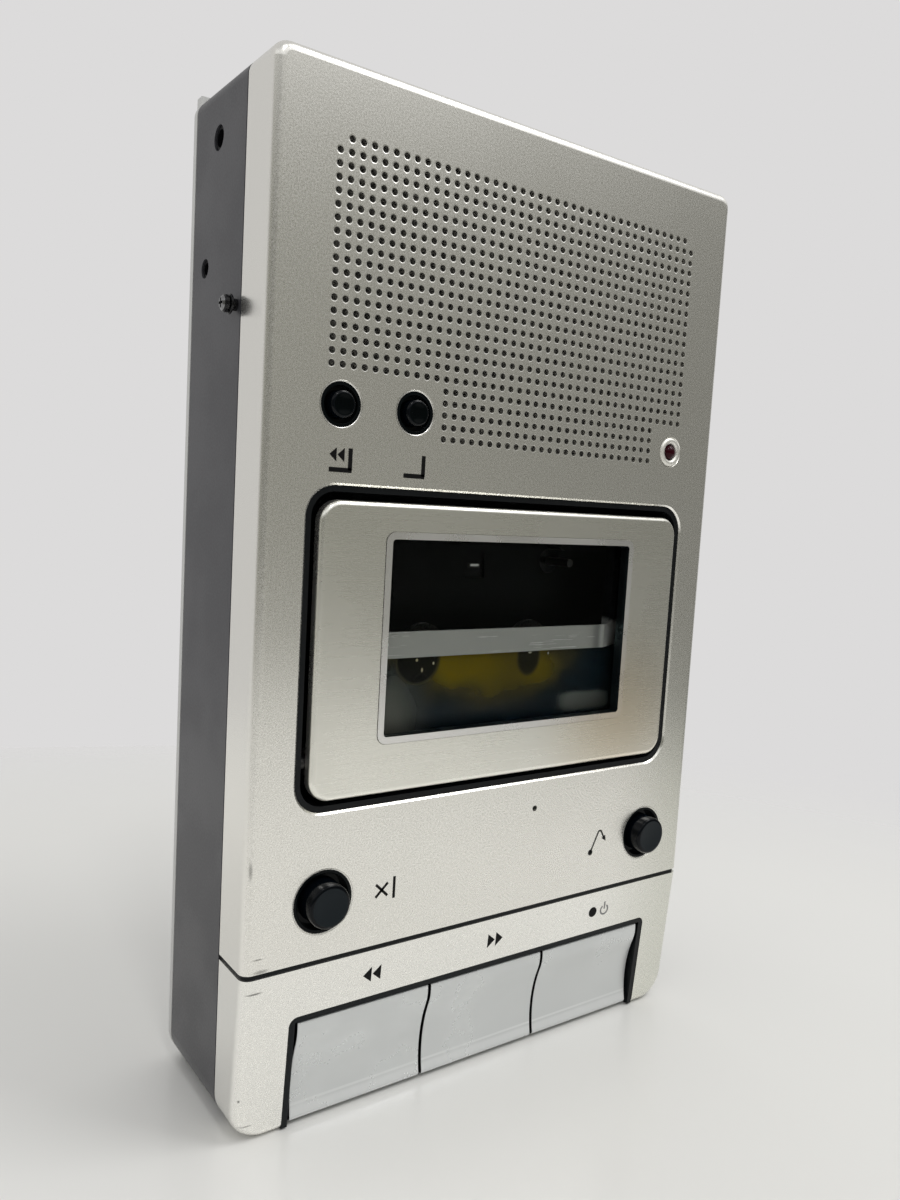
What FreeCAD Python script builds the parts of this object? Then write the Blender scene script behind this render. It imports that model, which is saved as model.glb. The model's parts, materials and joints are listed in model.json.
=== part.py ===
"""Desk dictation machine: a slim upright cassette recorder with its working parts.

Frame of the part: +X is the viewer's right, +Z is up, and the front faces -Y. The origin lies on the
base, in the middle of the width and of the case's depth. Inside every piece, lengths along Y are
depths, counted from the plane of the front face towards the back.
"""

import FreeCAD, Part
import math
import os
import re
from dataclasses import dataclass

import Sketcher

Vector = FreeCAD.Vector

# Driving dimensions, in millimetres, degrees or counts.
SIZES = {
    # Case
    "side_margin": 10.0,
    "front_depth": 12.0,
    "band_depth": 26.4,
    "back_depth": 3.3,
    "seam": 0.4,
    "wall": 2.0,
    "band_wall": 3.0,
    "fit_gap": 0.1,
    "running_gap": 0.04,
    "top_corner": 3.5,
    "inner_corner": 1.0,
    "bottom_corner": 7.5,
    "edge_round": 2.2,
    "back_round": 2.0,
    "tongue_reach": 2.0,
    "split_height": 37.5,
    "split_gap": 1.1,
    "bezel_lean": 2.9,
    "strip_recess": 0.5,
    "strip_flange": 4.6,
    "strip_depth": 4.2,
    "post_inset": 7.0,
    "post_radius": 3.0,
    "pilot_radius": 1.3,
    "screw_radius": 1.25,
    "screw_bite": 10.0,
    "screw_head_radius": 2.7,
    "screw_head_depth": 1.6,
    "screw_slot": 0.7,
    "low_post_height": 12.0,
    "middle_post_rise": 22.0,
    "high_post_drop": 24.5,
    "boss_length": 4.5,
    "lug_width": 5.0,
    "lug_inset": 0.8,
    "lug_rise": 1.0,
    "foot_radius": 5.0,
    "foot_proud": 1.5,
    "foot_seat": 0.6,
    "foot_across": 44.0,
    "foot_low": 24.0,
    "foot_drop": 24.0,
    "label_width": 62.0,
    "label_height": 34.0,
    "label_depth": 0.4,
    # Speaker field and speaker
    "hole_pitch": 2.5,
    "hole_radius": 0.6875,
    "hole_half_columns": 20.0,
    "hole_rows": 23.0,
    "grille_rise": 11.1,
    "top_margin": 14.5,
    "cloth_margin": 2.0,
    "cloth_thick": 0.25,
    "speaker_drop": 26.0,
    "speaker_radius": 28.5,
    "speaker_flange": 4.0,
    "speaker_depth": 13.0,
    "cone_neck": 8.0,
    "cone_sheet": 0.5,
    "basket_sheet": 0.8,
    "magnet_radius": 14.0,
    "magnet_depth": 7.0,
    # Lamp and microphone
    "lamp_across": 48.0,
    "lamp_rise": 13.85,
    "lamp_radius": 1.95,
    "lamp_proud": 1.0,
    "lamp_crown": 0.5,
    "lamp_dish": 3.6,
    "lamp_flange": 4.6,
    "lamp_length": 17.9,
    "lamp_body": 5.5,
    "microphone_across": 10.25,
    "microphone_drop": 7.1,
    "microphone_hole": 0.7,
    "microphone_radius": 3.0,
    "microphone_length": 4.5,
    "boot_wall": 1.0,
    # Upper buttons
    "high_button_rise": 15.85,
    "high_button_far": 47.4,
    "high_button_near": 29.9,
    "high_hole_radius": 4.7,
    "hole_chamfer": 0.15,
    "high_cap_radius": 2.75,
    "high_cap_proud": 1.2,
    "high_cap_crown": 0.9,
    # Lower buttons
    "low_button_rise": 13.0,
    "low_button_left": 46.5,
    "low_button_right": 48.5,
    "low_hole_radius": 7.0,
    "low_cap_radius": 4.8,
    "low_cap_proud": 3.4,
    "low_cap_crown": 1.0,
    # What all buttons share
    "collar_flange": 1.6,
    "collar_thick": 1.0,
    "collar_rim": 0.9,
    "collar_sink": 1.9,
    "cap_flange": 0.9,
    "cap_flange_thick": 1.0,
    "stem_radius": 1.5,
    "stem_reach": 12.5,
    "switch_depth": 10.8,
    "switch_size": 8.0,
    "switch_bore": 5.2,
    "board_depth": 18.0,
    "board_thick": 1.6,
    "spring_wire": 0.25,
    "spring_turns": 4.0,
    # Keys
    "recess_width": 105.5,
    "recess_height": 26.0,
    "recess_corner": 2.0,
    "well_wall": 1.4,
    "well_drop": 0.4,
    "well_depth": 9.8,
    "well_back": 1.2,
    "well_rear": 13.0,
    "well_step": 16.6,
    "well_top": 33.0,
    "well_rim": 1.3,
    "well_rim_depth": 3.6,
    "key_gap": 0.7,
    "key_side_gap": 0.8,
    "key_edge": 0.3,
    "key_toe": 0.9,
    "key_low": 0.9,
    "key_top_gap": 0.4,
    "key_lip": 0.35,
    "key_crown": 0.3,
    "key_crown_height": 19.5,
    "key_crown_sink": 0.45,
    "key_dip": 1.35,
    "key_foot": 0.3,
    "key_thick": 1.9,
    "key_arm": 3.0,
    "key_arm_inset": 4.0,
    "key_hub": 2.6,
    "axle_radius": 1.5,
    "axle_depth": 9.0,
    "axle_height": 29.0,
    "finger_height": 8.0,
    "finger_size": 3.0,
    "finger_reach": 12.6,
    "key_switch_gap": 2.4,
    "key_switch_size": 6.0,
    # Cassette door
    "aperture_width": 108.0,
    "aperture_height": 67.3,
    "aperture_corner": 6.5,
    "aperture_chamfer": 0.4,
    "door_rise": 32.1,
    "door_side_gap": 2.6,
    "door_low_gap": 2.6,
    "door_high_gap": 2.9,
    "door_proud": 1.2,
    "door_back": 1.4,
    "door_corner": 4.75,
    "door_round": 1.2,
    "window_width": 69.2,
    "window_height": 41.9,
    "window_rise": 12.4,
    "window_corner": 0.8,
    "trim_width": 1.6,
    "trim_corner": 2.2,
    "trim_thick": 1.0,
    "trim_proud": 0.15,
    "pane_thick": 1.4,
    "pane_margin": 2.0,
    "hinge_rise": 7.8,
    "hinge_depth": 3.0,
    "hinge_pin": 1.5,
    "hinge_boss": 3.0,
    "arm_thick": 2.5,
    "arm_inset": 1.0,
    "rim_sink": 0.6,
    "rim_reach": 1.3,
    "well_flange": 2.0,
    "carrier_wall": 1.5,
    "carrier_half": 43.0,
    "carrier_low": 3.8,
    "carrier_height": 52.0,
    "carrier_ledge": 1.5,
    "carrier_back": 13.0,
    "bar_sheet": 0.8,
    "bar_depth": 4.0,
    "bar_rise": 28.2,
    "bar_height": 5.8,
    "bar_flat": 33.0,
    "bar_wing": 4.0,
    "bar_bend": 1.2,
    "leg_front": 7.0,
    "leg_corner": 2.0,
    "pocket_thick": 0.8,
    "pocket_depth": 4.9,
    # Deck and drive
    "deck_depth": 14.5,
    "deck_thick": 1.0,
    "chassis_thick": 1.5,
    "chassis_margin": 3.5,
    "chassis_boss": 2.6,
    "chassis_boss_across": 46.0,
    "sensor_across": 1.5,
    "sensor_rise": 20.0,
    "sensor_width": 3.4,
    "sensor_height": 1.2,
    "sensor_recess": 6.0,
    "reel_across": 16.0,
    "reel_rise": 27.9,
    "hub_radius": 6.5,
    "hub_thick": 1.2,
    "spline_radius": 2.6,
    "spline_width": 1.1,
    "spline_reach": 2.2,
    "spindle_radius": 2.0,
    "clutch_radius": 11.0,
    "clutch_thick": 2.5,
    "reel_pulley_radius": 7.0,
    "pulley_thick": 2.4,
    "capstan_across": 22.0,
    "capstan_rise": 21.4,
    "capstan_radius": 1.0,
    "capstan_front": 6.5,
    "bearing_radius": 3.0,
    "bearing_length": 7.0,
    "flywheel_radius": 17.0,
    "flywheel_thick": 5.0,
    "flywheel_depth": 26.5,
    "hub_pulley_radius": 5.0,
    "belt_size": 1.1,
    "belt_gap": 0.05,
    "belt_groove": 0.5,
    "motor_across": 36.0,
    "motor_rise": 17.9,
    "motor_radius": 14.0,
    "motor_length": 9.6,
    "motor_shaft": 1.0,
    "motor_pulley_radius": 3.0,
    "motor_pulley_thick": 3.4,
    "carriage_thick": 1.0,
    "carriage_low": 28.9,
    "carriage_height": 11.5,
    "carriage_left": 14.0,
    "carriage_right": 22.0,
    "carriage_travel": 2.5,
    "carriage_pin": 1.0,
    "head_width": 12.0,
    "head_height": 4.8,
    "head_front": 8.0,
    "head_rise": 28.5,
    "head_stalk": 6.0,
    "roller_radius": 4.4,
    "roller_length": 4.6,
    "roller_front": 8.0,
    "roller_gap": 2.0,
    "roller_axle": 1.0,
    "pinch_across": 34.0,
    "pinch_rise": 30.9,
    "pinch_hub": 2.8,
    "pinch_arm_thick": 1.0,
    "pinch_pin": 1.4,
    "solenoid_across": 3.0,
    "solenoid_width": 16.0,
    "solenoid_height": 20.0,
    "solenoid_depth": 9.0,
    "solenoid_front": 20.5,
    "solenoid_drop": 26.0,
    "plunger_radius": 2.0,
    "plunger_bore": 12.0,
    # Boards, parts on them and sockets
    "main_board_half": 45.0,
    "main_board_low": 14.0,
    "main_board_drop": 11.5,
    "board_standoff": 4.9,
    "standoff_across": 41.0,
    "standoff_low": 20.0,
    "standoff_drop": 17.5,
    "capacitor_radius": 4.0,
    "capacitor_length": 9.0,
    "chip_width": 20.0,
    "chip_height": 7.0,
    "chip_thick": 3.5,
    "low_board_half": 59.0,
    "low_board_bottom": 4.2,
    "high_board_half": 56.0,
    "high_board_rise": 6.6,
    "high_board_height": 16.0,
    "high_socket_drop": 11.5,
    "high_socket_depth": 26.3,
    "high_socket_hole": 2.55,
    "high_socket_bore": 1.8,
    "low_socket_drop": 36.6,
    "low_socket_depth": 32.0,
    "low_socket_hole": 2.0,
    "low_socket_bore": 1.3,
    "socket_size": 7.0,
    "socket_length": 15.0,
    "socket_recess": 0.4,
    "side_screw_drop": 46.4,
    "side_screw_depth": 14.6,
    "side_screw_head": 1.75,
    "side_screw_neck": 1.0,
    "side_screw_proud": 3.2,
    "side_screw_crown": 1.0,
    "side_screw_length": 9.0,
    "side_screw_cross": 0.45,
}

document = FreeCAD.newDocument("dictation_machine")
sizes = document.addObject("Spreadsheet::Sheet", "sizes")
for line, (name, value) in enumerate(SIZES.items(), 1):
    sizes.set(f"A{line}", name)
    sizes.set(f"B{line}", str(value))
    sizes.setAlias(f"B{line}", name)
document.recompute()

# Lengths worked out from the driving dimensions.
HALF_WIDTH = "(aperture_width / 2 + side_margin)"
DEPTH = "(front_depth + seam + band_depth + seam + back_depth)"
BACK_START = f"({DEPTH} - back_depth)"
BACK_INSIDE = f"({DEPTH} - wall)"
SPLIT_LOW = "(split_height - split_gap / 2)"
SPLIT_HIGH = "(split_height + split_gap / 2)"
APERTURE_LOW = "(split_height + door_rise)"
APERTURE_HIGH = f"({APERTURE_LOW} + aperture_height)"
GRILLE_LOW = f"({APERTURE_HIGH} + grille_rise)"
GRILLE_HIGH = f"({GRILLE_LOW} + (hole_rows - 1) * hole_pitch)"
HEIGHT = f"({GRILLE_HIGH} + top_margin)"
POST_ACROSS = f"({HALF_WIDTH} - post_inset)"
POST_END = f"({BACK_INSIDE} - boss_length - fit_gap)"
POST_HEIGHTS = ("low_post_height", "(split_height + middle_post_rise)", f"({HEIGHT} - high_post_drop)")
LOW_BUTTON_HEIGHT = "(split_height + low_button_rise)"
HIGH_BUTTON_HEIGHT = f"({APERTURE_HIGH} + high_button_rise)"
LAMP_HEIGHT = f"({APERTURE_HIGH} + lamp_rise)"
MICROPHONE_HEIGHT = f"({APERTURE_LOW} - microphone_drop)"
SPEAKER_HEIGHT = f"({GRILLE_HIGH} - speaker_drop)"
DOOR_HALF = "(aperture_width / 2 - door_side_gap)"
DOOR_LOW = f"({APERTURE_LOW} + door_low_gap)"
DOOR_HIGH = f"({APERTURE_HIGH} - door_high_gap)"
WINDOW_LOW = f"({DOOR_LOW} + window_rise)"
WINDOW_HIGH = f"({WINDOW_LOW} + window_height)"
HINGE_HEIGHT = f"({DOOR_LOW} + hinge_rise)"
RIM_HALF = "(aperture_width / 2 - rim_reach)"
RIM_LOW = f"({APERTURE_LOW} + rim_reach)"
RIM_HIGH = f"({APERTURE_HIGH} - rim_reach)"
CARRIER_LOW = f"({DOOR_LOW} + carrier_low)"
CARRIER_INNER = "(carrier_half - carrier_wall)"
BAR_LOW = f"({DOOR_LOW} + bar_rise)"
BAR_HIGH = f"({BAR_LOW} + bar_height)"
CHASSIS = "(deck_depth + deck_thick + fit_gap)"
CHASSIS_BACK = f"({CHASSIS} + chassis_thick)"
REEL_HEIGHT = f"({DOOR_LOW} + reel_rise)"
CAPSTAN_HEIGHT = f"({REEL_HEIGHT} + capstan_rise)"
MOTOR_HEIGHT = f"({REEL_HEIGHT} + motor_rise)"
CARRIAGE_DEPTH = f"({CHASSIS_BACK} + fit_gap)"
CARRIAGE_LOW = f"({REEL_HEIGHT} + carriage_low)"
HEAD_LOW = f"({REEL_HEIGHT} + head_rise)"
PINCH_HEIGHT = f"({REEL_HEIGHT} + pinch_rise)"
ROLLER_HEIGHT = f"({CAPSTAN_HEIGHT} + capstan_radius + roller_radius + roller_gap)"
PINCH_HALF = "(pinch_hub * 0.7)"
TAIL_ACROSS = "(pinch_across - (pinch_across - capstan_across) * carriage_travel / roller_gap)"
TAIL_DROP = f"(({PINCH_HEIGHT} - {ROLLER_HEIGHT}) * carriage_travel / roller_gap)"
PIN_HEIGHT = f"({PINCH_HEIGHT} - {TAIL_DROP} + {PINCH_HALF} + carriage_pin + 3 * fit_gap)"
CLUTCH_DEPTH = f"({CHASSIS_BACK} + 4 * fit_gap)"
REEL_PULLEY_DEPTH = f"({CHASSIS_BACK} + bearing_length - 2 * fit_gap - clutch_thick / 2)"
ARM_DEPTH = "(deck_depth - 1.3 * pinch_arm_thick)"
SENSOR_HEIGHT = f"({REEL_HEIGHT} + sensor_rise)"
REEL_BELT_DEPTH = f"({REEL_PULLEY_DEPTH} + pulley_thick / 2)"
DRIVE_BELT_DEPTH = "(flywheel_depth + flywheel_thick / 2)"
PLUNGER_DEPTH = "(solenoid_front + solenoid_depth / 2)"
SOLENOID_TOP = f"({REEL_HEIGHT} + carriage_low - solenoid_drop - fit_gap)"
KEY_PITCH = "((recess_width - 2 * well_wall - 2 * key_side_gap + key_gap) / 3)"
BOARD_BACK = f"({BACK_INSIDE} - board_standoff)"
SOCKET_FACE = f"(-{HALF_WIDTH} + band_wall + fit_gap)"

PLANES = {"top": "XY_Plane", "front": "XZ_Plane", "side": "YZ_Plane"}
WORD = re.compile(r"[a-z_]+")
NODES = {}


def tied(formula):
    """Turn a formula of size names into an expression that reads the sheet."""
    return WORD.sub(lambda word: f"sizes.{word.group()}" if word.group() in SIZES else word.group(), formula)


def number(formula):
    """Give a formula's present value."""
    return float(sizes.evalExpression(tied(formula)))


def bind(thing, name, formula):
    """Bind a property or constraint of a thing to a formula."""
    thing.setExpression(name, tied(formula))


def seat(thing, across="0", height="0", depth="0"):
    """Place a piece: its depths count from the front plane."""
    bind(thing, "Placement.Base.x", across)
    bind(thing, "Placement.Base.y", f"({depth}) - {DEPTH} / 2")
    bind(thing, "Placement.Base.z", height)


def body(label):
    """Start a body that becomes the sub-part of that name."""
    new = document.addObject("PartDesign::Body", label)
    NODES[label] = new
    return new


def sketch(owner, plane, offset="0"):
    """Start a sketch on a body's origin plane, offset towards +X, +Y or +Z."""
    origin = next(feature for feature in owner.Origin.OriginFeatures if feature.Role == PLANES[plane])
    drawing = owner.newObject("Sketcher::SketchObject", "Sketch")
    drawing.AttachmentSupport = [(origin, "")]
    drawing.MapMode = "FlatFace"
    sign = "-1" if plane == "front" else "1"
    bind(drawing, "AttachmentOffset.Base.z", f"{sign} * ({offset})")
    return drawing


def constrain(drawing, kind, places, formula):
    """Add a dimension to a sketch and bind it to a formula."""
    index = drawing.addConstraint(Sketcher.Constraint(kind, *places, number(formula)))
    drawing.renameConstraint(index, f"{kind}_{index}")
    bind(drawing, f"Constraints.{kind}_{index}", formula)


def circle(drawing, across, up, radius):
    """Draw a circle."""
    centre = Vector(number(across), number(up), 0)
    curve = drawing.addGeometry(Part.Circle(centre, Vector(0, 0, 1), number(radius)))
    constrain(drawing, "DistanceX", (-1, 1, curve, 3), across)
    constrain(drawing, "DistanceY", (-1, 1, curve, 3), up)
    constrain(drawing, "Radius", (curve,), radius)


def arc_between(start, end, radius, side):
    """Give the arc from start to end whose centre lies left (side 1) or right (side -1) of the way."""
    chord = end - start
    rise = math.sqrt(max(radius**2 - chord.Length**2 / 4, 0))
    across = Vector(-chord.y, chord.x, 0).normalize()
    centre = (start + end) / 2 + across * rise * side
    ends = [math.atan2(point.y - centre.y, point.x - centre.x) for point in (start, end)]
    first, last = ends if side > 0 else reversed(ends)
    if last < first:
        last += 2 * math.pi
    return Part.ArcOfCircle(Part.Circle(centre, Vector(0, 0, 1), radius), first, last)


def outline(drawing, corners):
    """Draw a closed outline. A corner is (x, y), or (x, y, radius, side) where an arc leaves it."""
    spots = [Vector(number(corner[0]), number(corner[1]), 0) for corner in corners]
    joints = []
    for place, corner in enumerate(corners):
        start = spots[place]
        end = spots[(place + 1) % len(spots)]
        if len(corner) == 2:
            curve = drawing.addGeometry(Part.LineSegment(start, end))
            joints.append((curve, 1, 2))
            continue
        radius, side = corner[2:]
        curve = drawing.addGeometry(arc_between(start, end, number(radius), side))
        joints.append((curve, 1, 2) if side > 0 else (curve, 2, 1))
    for place, (curve, start, end) in enumerate(joints):
        following, its_start, _ = joints[(place + 1) % len(joints)]
        drawing.addConstraint(Sketcher.Constraint("Coincident", curve, end, following, its_start))
        constrain(drawing, "DistanceX", (-1, 1, curve, start), corners[place][0])
        constrain(drawing, "DistanceY", (-1, 1, curve, start), corners[place][1])
        if len(corners[place]) > 2:
            constrain(drawing, "Radius", (curve,), corners[place][2])


def rectangle(drawing, left, right, low, high):
    """Draw an upright rectangle."""
    outline(drawing, [(left, low), (right, low), (right, high), (left, high)])


def rounded(drawing, left, right, low, high, radius):
    """Draw an upright rectangle with round corners."""
    radius = f"({radius})"
    outline(
        drawing,
        [
            (f"{left} + {radius}", low),
            (f"{right} - {radius}", low, radius, 1),
            (right, f"{low} + {radius}"),
            (right, f"{high} - {radius}", radius, 1),
            (f"{right} - {radius}", high),
            (f"{left} + {radius}", high, radius, 1),
            (left, f"{high} - {radius}"),
            (left, f"{low} + {radius}", radius, 1),
        ],
    )


def case_outline(drawing, inset, high_radius, low="0"):
    """Draw the case's outline, moved in by an inset. The bottom corners have the large radius."""
    side = f"({HALF_WIDTH} - {inset})"
    top = f"({HEIGHT} - {inset})"
    bottom = f"({low} + {inset})"
    large = f"(bottom_corner - {inset})"
    outline(
        drawing,
        [
            (f"-{side} + {large}", bottom),
            (f"{side} - {large}", bottom, large, 1),
            (side, f"{bottom} + {large}"),
            (side, f"{top} - {high_radius}", high_radius, 1),
            (f"{side} - {high_radius}", top),
            (f"-{side} + {high_radius}", top, high_radius, 1),
            (f"-{side}", f"{top} - {high_radius}"),
            (f"-{side}", f"{bottom} + {large}", large, 1),
        ],
    )


def settled(owner, feature):
    """Recompute and give the feature back, or stop if it failed."""
    document.recompute()
    if "Invalid" in feature.State or feature.Shape.isNull() or not feature.Shape.isValid():
        raise RuntimeError(f"{feature.Name} of {owner.Name} failed: {feature.State}")
    return feature


def pad(owner, drawing, length, midplane=False):
    """Raise a sketch: to +X, +Y or +Z, or evenly to both sides."""
    new = owner.newObject("PartDesign::Pad", "Pad")
    new.Profile = drawing
    new.Reversed = PLANES["front"] in drawing.AttachmentSupport[0][0].Role
    new.Midplane = midplane
    bind(new, "Length", length)
    return settled(owner, new)


def pocket(owner, drawing, length, midplane=False, back=False):
    """Cut a sketch out: a front sketch cuts towards the back, the others down or left, unless back."""
    new = owner.newObject("PartDesign::Pocket", "Pocket")
    new.Profile = drawing
    new.Midplane = midplane
    new.Reversed = back
    bind(new, "Length", length)
    before = new.BaseFeature.Shape.Volume
    settled(owner, new)
    if not before - new.Shape.Volume > 0:
        raise RuntimeError(f"{new.Name} of {owner.Name} cuts nothing")
    return new


def edges(feature, wanted):
    """Name the edges of a feature that pass a test."""
    return [f"Edge{place}" for place, edge in enumerate(feature.Shape.Edges, 1) if wanted(edge)]


def rounding(owner, feature, radius, wanted):
    """Round the edges of a feature that pass a test."""
    new = owner.newObject("PartDesign::Fillet", "Fillet")
    new.Base = (feature, edges(feature, wanted))
    bind(new, "Radius", radius)
    return settled(owner, new)


def chamfer(owner, feature, size, wanted):
    """Chamfer the edges of a feature that pass a test."""
    new = owner.newObject("PartDesign::Chamfer", "Chamfer")
    new.Base = (feature, edges(feature, wanted))
    bind(new, "Size", size)
    return settled(owner, new)


def near(value, formula):
    """Say whether a length equals a formula's value."""
    return abs(value - number(formula)) < 1e-4


def along_depth(edge):
    """Say whether an edge is straight and runs from front to back."""
    ends = [vertex.Point for vertex in edge.Vertexes]
    if len(ends) < 2:
        return False
    run = ends[1] - ends[0]
    return run.Length > 1e-6 and abs(abs(run.y) - run.Length) < 1e-6


def revolve(owner, drawing, axis="V_Axis"):
    """Turn a sketch all the way round one of its axes."""
    new = owner.newObject("PartDesign::Revolution", "Revolution")
    new.Profile = drawing
    new.ReferenceAxis = (drawing, [axis])
    new.Angle = 360
    return settled(owner, new)


def coil(owner, drawing, length, turns):
    """Wind a wire's section into a coil spring along the sketch's upright axis."""
    new = owner.newObject("PartDesign::AdditiveHelix", "Coil")
    new.Profile = drawing
    new.ReferenceAxis = (drawing, ["V_Axis"])
    new.Mode = 0
    bind(new, "Height", length)
    bind(new, "Pitch", f"({length}) / ({turns})")
    return settled(owner, new)


def turned(label, profile, across="0", height="0"):
    """Make a piece turned about an axis from front to back, from corners of (radius, depth)."""
    owner = body(label)
    drawing = sketch(owner, "top")
    outline(drawing, profile)
    revolve(owner, drawing)
    seat(owner, across, height)
    return owner


def ring(inner, outer, start, end):
    """Give the profile of a plain ring."""
    return [(inner, start), (outer, start), (outer, end), (inner, end)]


def slab(label, left, right, low, high, start, end):
    """Make a plain board or block and give its body, ready for more features."""
    owner = body(label)
    drawing = sketch(owner, "front", start)
    rectangle(drawing, left, right, low, high)
    pad(owner, drawing, f"({end}) - ({start})")
    seat(owner)
    return owner


def drill(owner, start, length, holes):
    """Drill round holes towards the back. A hole is (across, height, radius)."""
    drawing = sketch(owner, "front", start)
    for across, height, radius in holes:
        circle(drawing, across, height, radius)
    return pocket(owner, drawing, length)


def columns(owner, start, length, spots):
    """Raise round columns towards the back. A spot is (across, height, radius)."""
    drawing = sketch(owner, "front", start)
    for across, height, radius in spots:
        circle(drawing, across, height, radius)
    return pad(owner, drawing, length)


def lean_at(height):
    """Give the depth of the lower bezel's leaning face at a height."""
    return f"(bezel_lean * ({SPLIT_LOW} - ({height})) / {SPLIT_LOW})"


def front_shell():
    """Upper front shell, with the door's opening and all its round holes."""
    shell = document.addObject("PartDesign::Body", "front_shell")
    face = sketch(shell, "front")
    rectangle(face, f"-{HALF_WIDTH}", HALF_WIDTH, SPLIT_HIGH, HEIGHT)
    block = pad(shell, face, "front_depth")
    corners = rounding(
        shell, block, "top_corner", lambda edge: along_depth(edge) and near(edge.CenterOfMass.z, HEIGHT)
    )
    rounding(
        shell,
        corners,
        "edge_round",
        lambda edge: near(edge.CenterOfMass.y, "0") and edge.CenterOfMass.z > number(SPLIT_HIGH) + 1e-4,
    )
    cavity = sketch(shell, "front", "wall")
    side = f"({HALF_WIDTH} - wall)"
    rectangle(cavity, f"-{side}", side, f"{SPLIT_HIGH} - wall", f"{HEIGHT} - wall")
    pocket(shell, cavity, "front_depth")
    opening = sketch(shell, "front")
    half = "(aperture_width / 2)"
    rounded(opening, f"-{half}", half, APERTURE_LOW, APERTURE_HIGH, "aperture_corner")
    opened = pocket(shell, opening, "wall")
    edge_reach = number("aperture_width") / 2 + 1e-3
    chamfer(
        shell,
        opened,
        "aperture_chamfer",
        lambda edge: near(edge.CenterOfMass.y, "0")
        and edge.BoundBox.XMax < edge_reach
        and edge.BoundBox.XMin > -edge_reach
        and edge.BoundBox.ZMax < number(APERTURE_HIGH) + 1e-3
        and edge.BoundBox.ZMin > number(APERTURE_LOW) - 1e-3,
    )
    holes = [
        ("-high_button_far", HIGH_BUTTON_HEIGHT, "high_hole_radius"),
        ("-high_button_near", HIGH_BUTTON_HEIGHT, "high_hole_radius"),
        ("-low_button_left", LOW_BUTTON_HEIGHT, "low_hole_radius"),
        ("low_button_right", LOW_BUTTON_HEIGHT, "low_hole_radius"),
        ("lamp_across", LAMP_HEIGHT, "lamp_dish + fit_gap"),
    ]
    drilled = drill(shell, "0", "wall", [*holes, ("microphone_across", MICROPHONE_HEIGHT, "microphone_hole")])
    radii = [number(radius) for _, _, radius in holes]
    chamfer(
        shell,
        drilled,
        "hole_chamfer",
        lambda edge: near(edge.CenterOfMass.y, "0")
        and len(edge.Vertexes) == 1
        and any(abs(edge.Curve.Radius - radius) < 1e-4 for radius in radii),
    )
    spots = post_spots(POST_HEIGHTS[1:])
    columns(shell, "wall / 2", f"{POST_END} - wall / 2", [(*spot, "post_radius") for spot in spots])
    drill(shell, f"{POST_END} - screw_bite", "screw_bite", [(*spot, "pilot_radius") for spot in spots])
    return shell


def hole_columns(row):
    """Give the first and last column of a row of speaker holes, counted from the middle column."""
    edge = int(number("hole_half_columns"))
    from_top = int(number("hole_rows")) - 1 - row
    if from_top == 0:
        return 1 - edge, edge - 1
    if from_top < 18:
        return -edge, edge
    # The lowest five rows make room for the two buttons, and the last four for the lamp.
    start = 1 - int(number("(high_button_near - high_hole_radius) / hole_pitch"))
    end = int(number("(lamp_across - lamp_flange) / hole_pitch")) - 1
    return start, edge if from_top == 18 else end


def speaker_holes(shell):
    """Cut the field of speaker holes out of the front shell."""
    pitch = number("hole_pitch")
    radius = number("hole_radius")
    wall = number("wall")
    drills = []
    for row in range(int(number("hole_rows"))):
        first, last = hole_columns(row)
        for column in range(first, last + 1):
            start = Vector(column * pitch, -wall, number(GRILLE_LOW) + row * pitch)
            drills.append(Part.makeCylinder(radius, 3 * wall, start, Vector(0, 1, 0)))
    field = document.addObject("Part::Feature", "speaker_field")
    field.Shape = Part.makeCompound(drills)
    cover = document.addObject("Part::Cut", "front_cover")
    cover.Base = shell
    cover.Tool = field
    NODES["front_cover"] = cover
    seat(cover)


def lower_bezel():
    """Lower front shell: it leans back, and the keys' recess runs out through its bottom."""
    bezel = body("lower_bezel")
    flank = sketch(bezel, "side")
    outline(flank, [("0", SPLIT_LOW), ("bezel_lean", "0"), ("front_depth", "0"), ("front_depth", SPLIT_LOW)])
    block = pad(bezel, flank, f"2 * {HALF_WIDTH}", midplane=True)
    corners = rounding(
        bezel, block, "bottom_corner", lambda edge: along_depth(edge) and near(edge.CenterOfMass.z, "0")
    )

    def on_face(point):
        return near(point.y, lean_at(f"{point.z:.6f}"))

    rounding(
        bezel,
        corners,
        "edge_round",
        lambda edge: all(on_face(vertex.Point) for vertex in edge.Vertexes)
        and edge.CenterOfMass.z < number(SPLIT_LOW) - 1e-3,
    )
    side = f"({HALF_WIDTH} - wall)"
    large = "(bottom_corner - wall)"
    cavity = sketch(bezel, "front", "bezel_lean + wall")
    rounded(cavity, f"-{side}", side, "wall", f"{SPLIT_LOW} + 2 * bottom_corner", large)
    pocket(bezel, cavity, "front_depth")
    upper = sketch(bezel, "side")
    above = "(bottom_corner + wall)"
    outline(
        upper,
        [
            (f"{lean_at(above)} + wall", above),
            ("front_depth + wall", above),
            ("front_depth + wall", f"{SPLIT_LOW} + wall"),
            (f"{lean_at(f'{SPLIT_LOW} + wall')} + wall", f"{SPLIT_LOW} + wall"),
        ],
    )
    pocket(bezel, upper, f"2 * {side}", midplane=True)
    recess = sketch(bezel, "front", "-wall")
    half = "(recess_width / 2)"
    rounded(recess, f"-{half}", half, "-2 * bottom_corner", "recess_height", "recess_corner")
    pocket(bezel, recess, "front_depth + 2 * wall")
    spots = post_spots(POST_HEIGHTS[:1])
    start = "(bezel_lean + wall / 2)"
    columns(bezel, start, f"{POST_END} - {start}", [(*spot, "post_radius") for spot in spots])
    drill(bezel, f"{POST_END} - screw_bite", "screw_bite", [(*spot, "pilot_radius") for spot in spots])
    seat(bezel)


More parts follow.
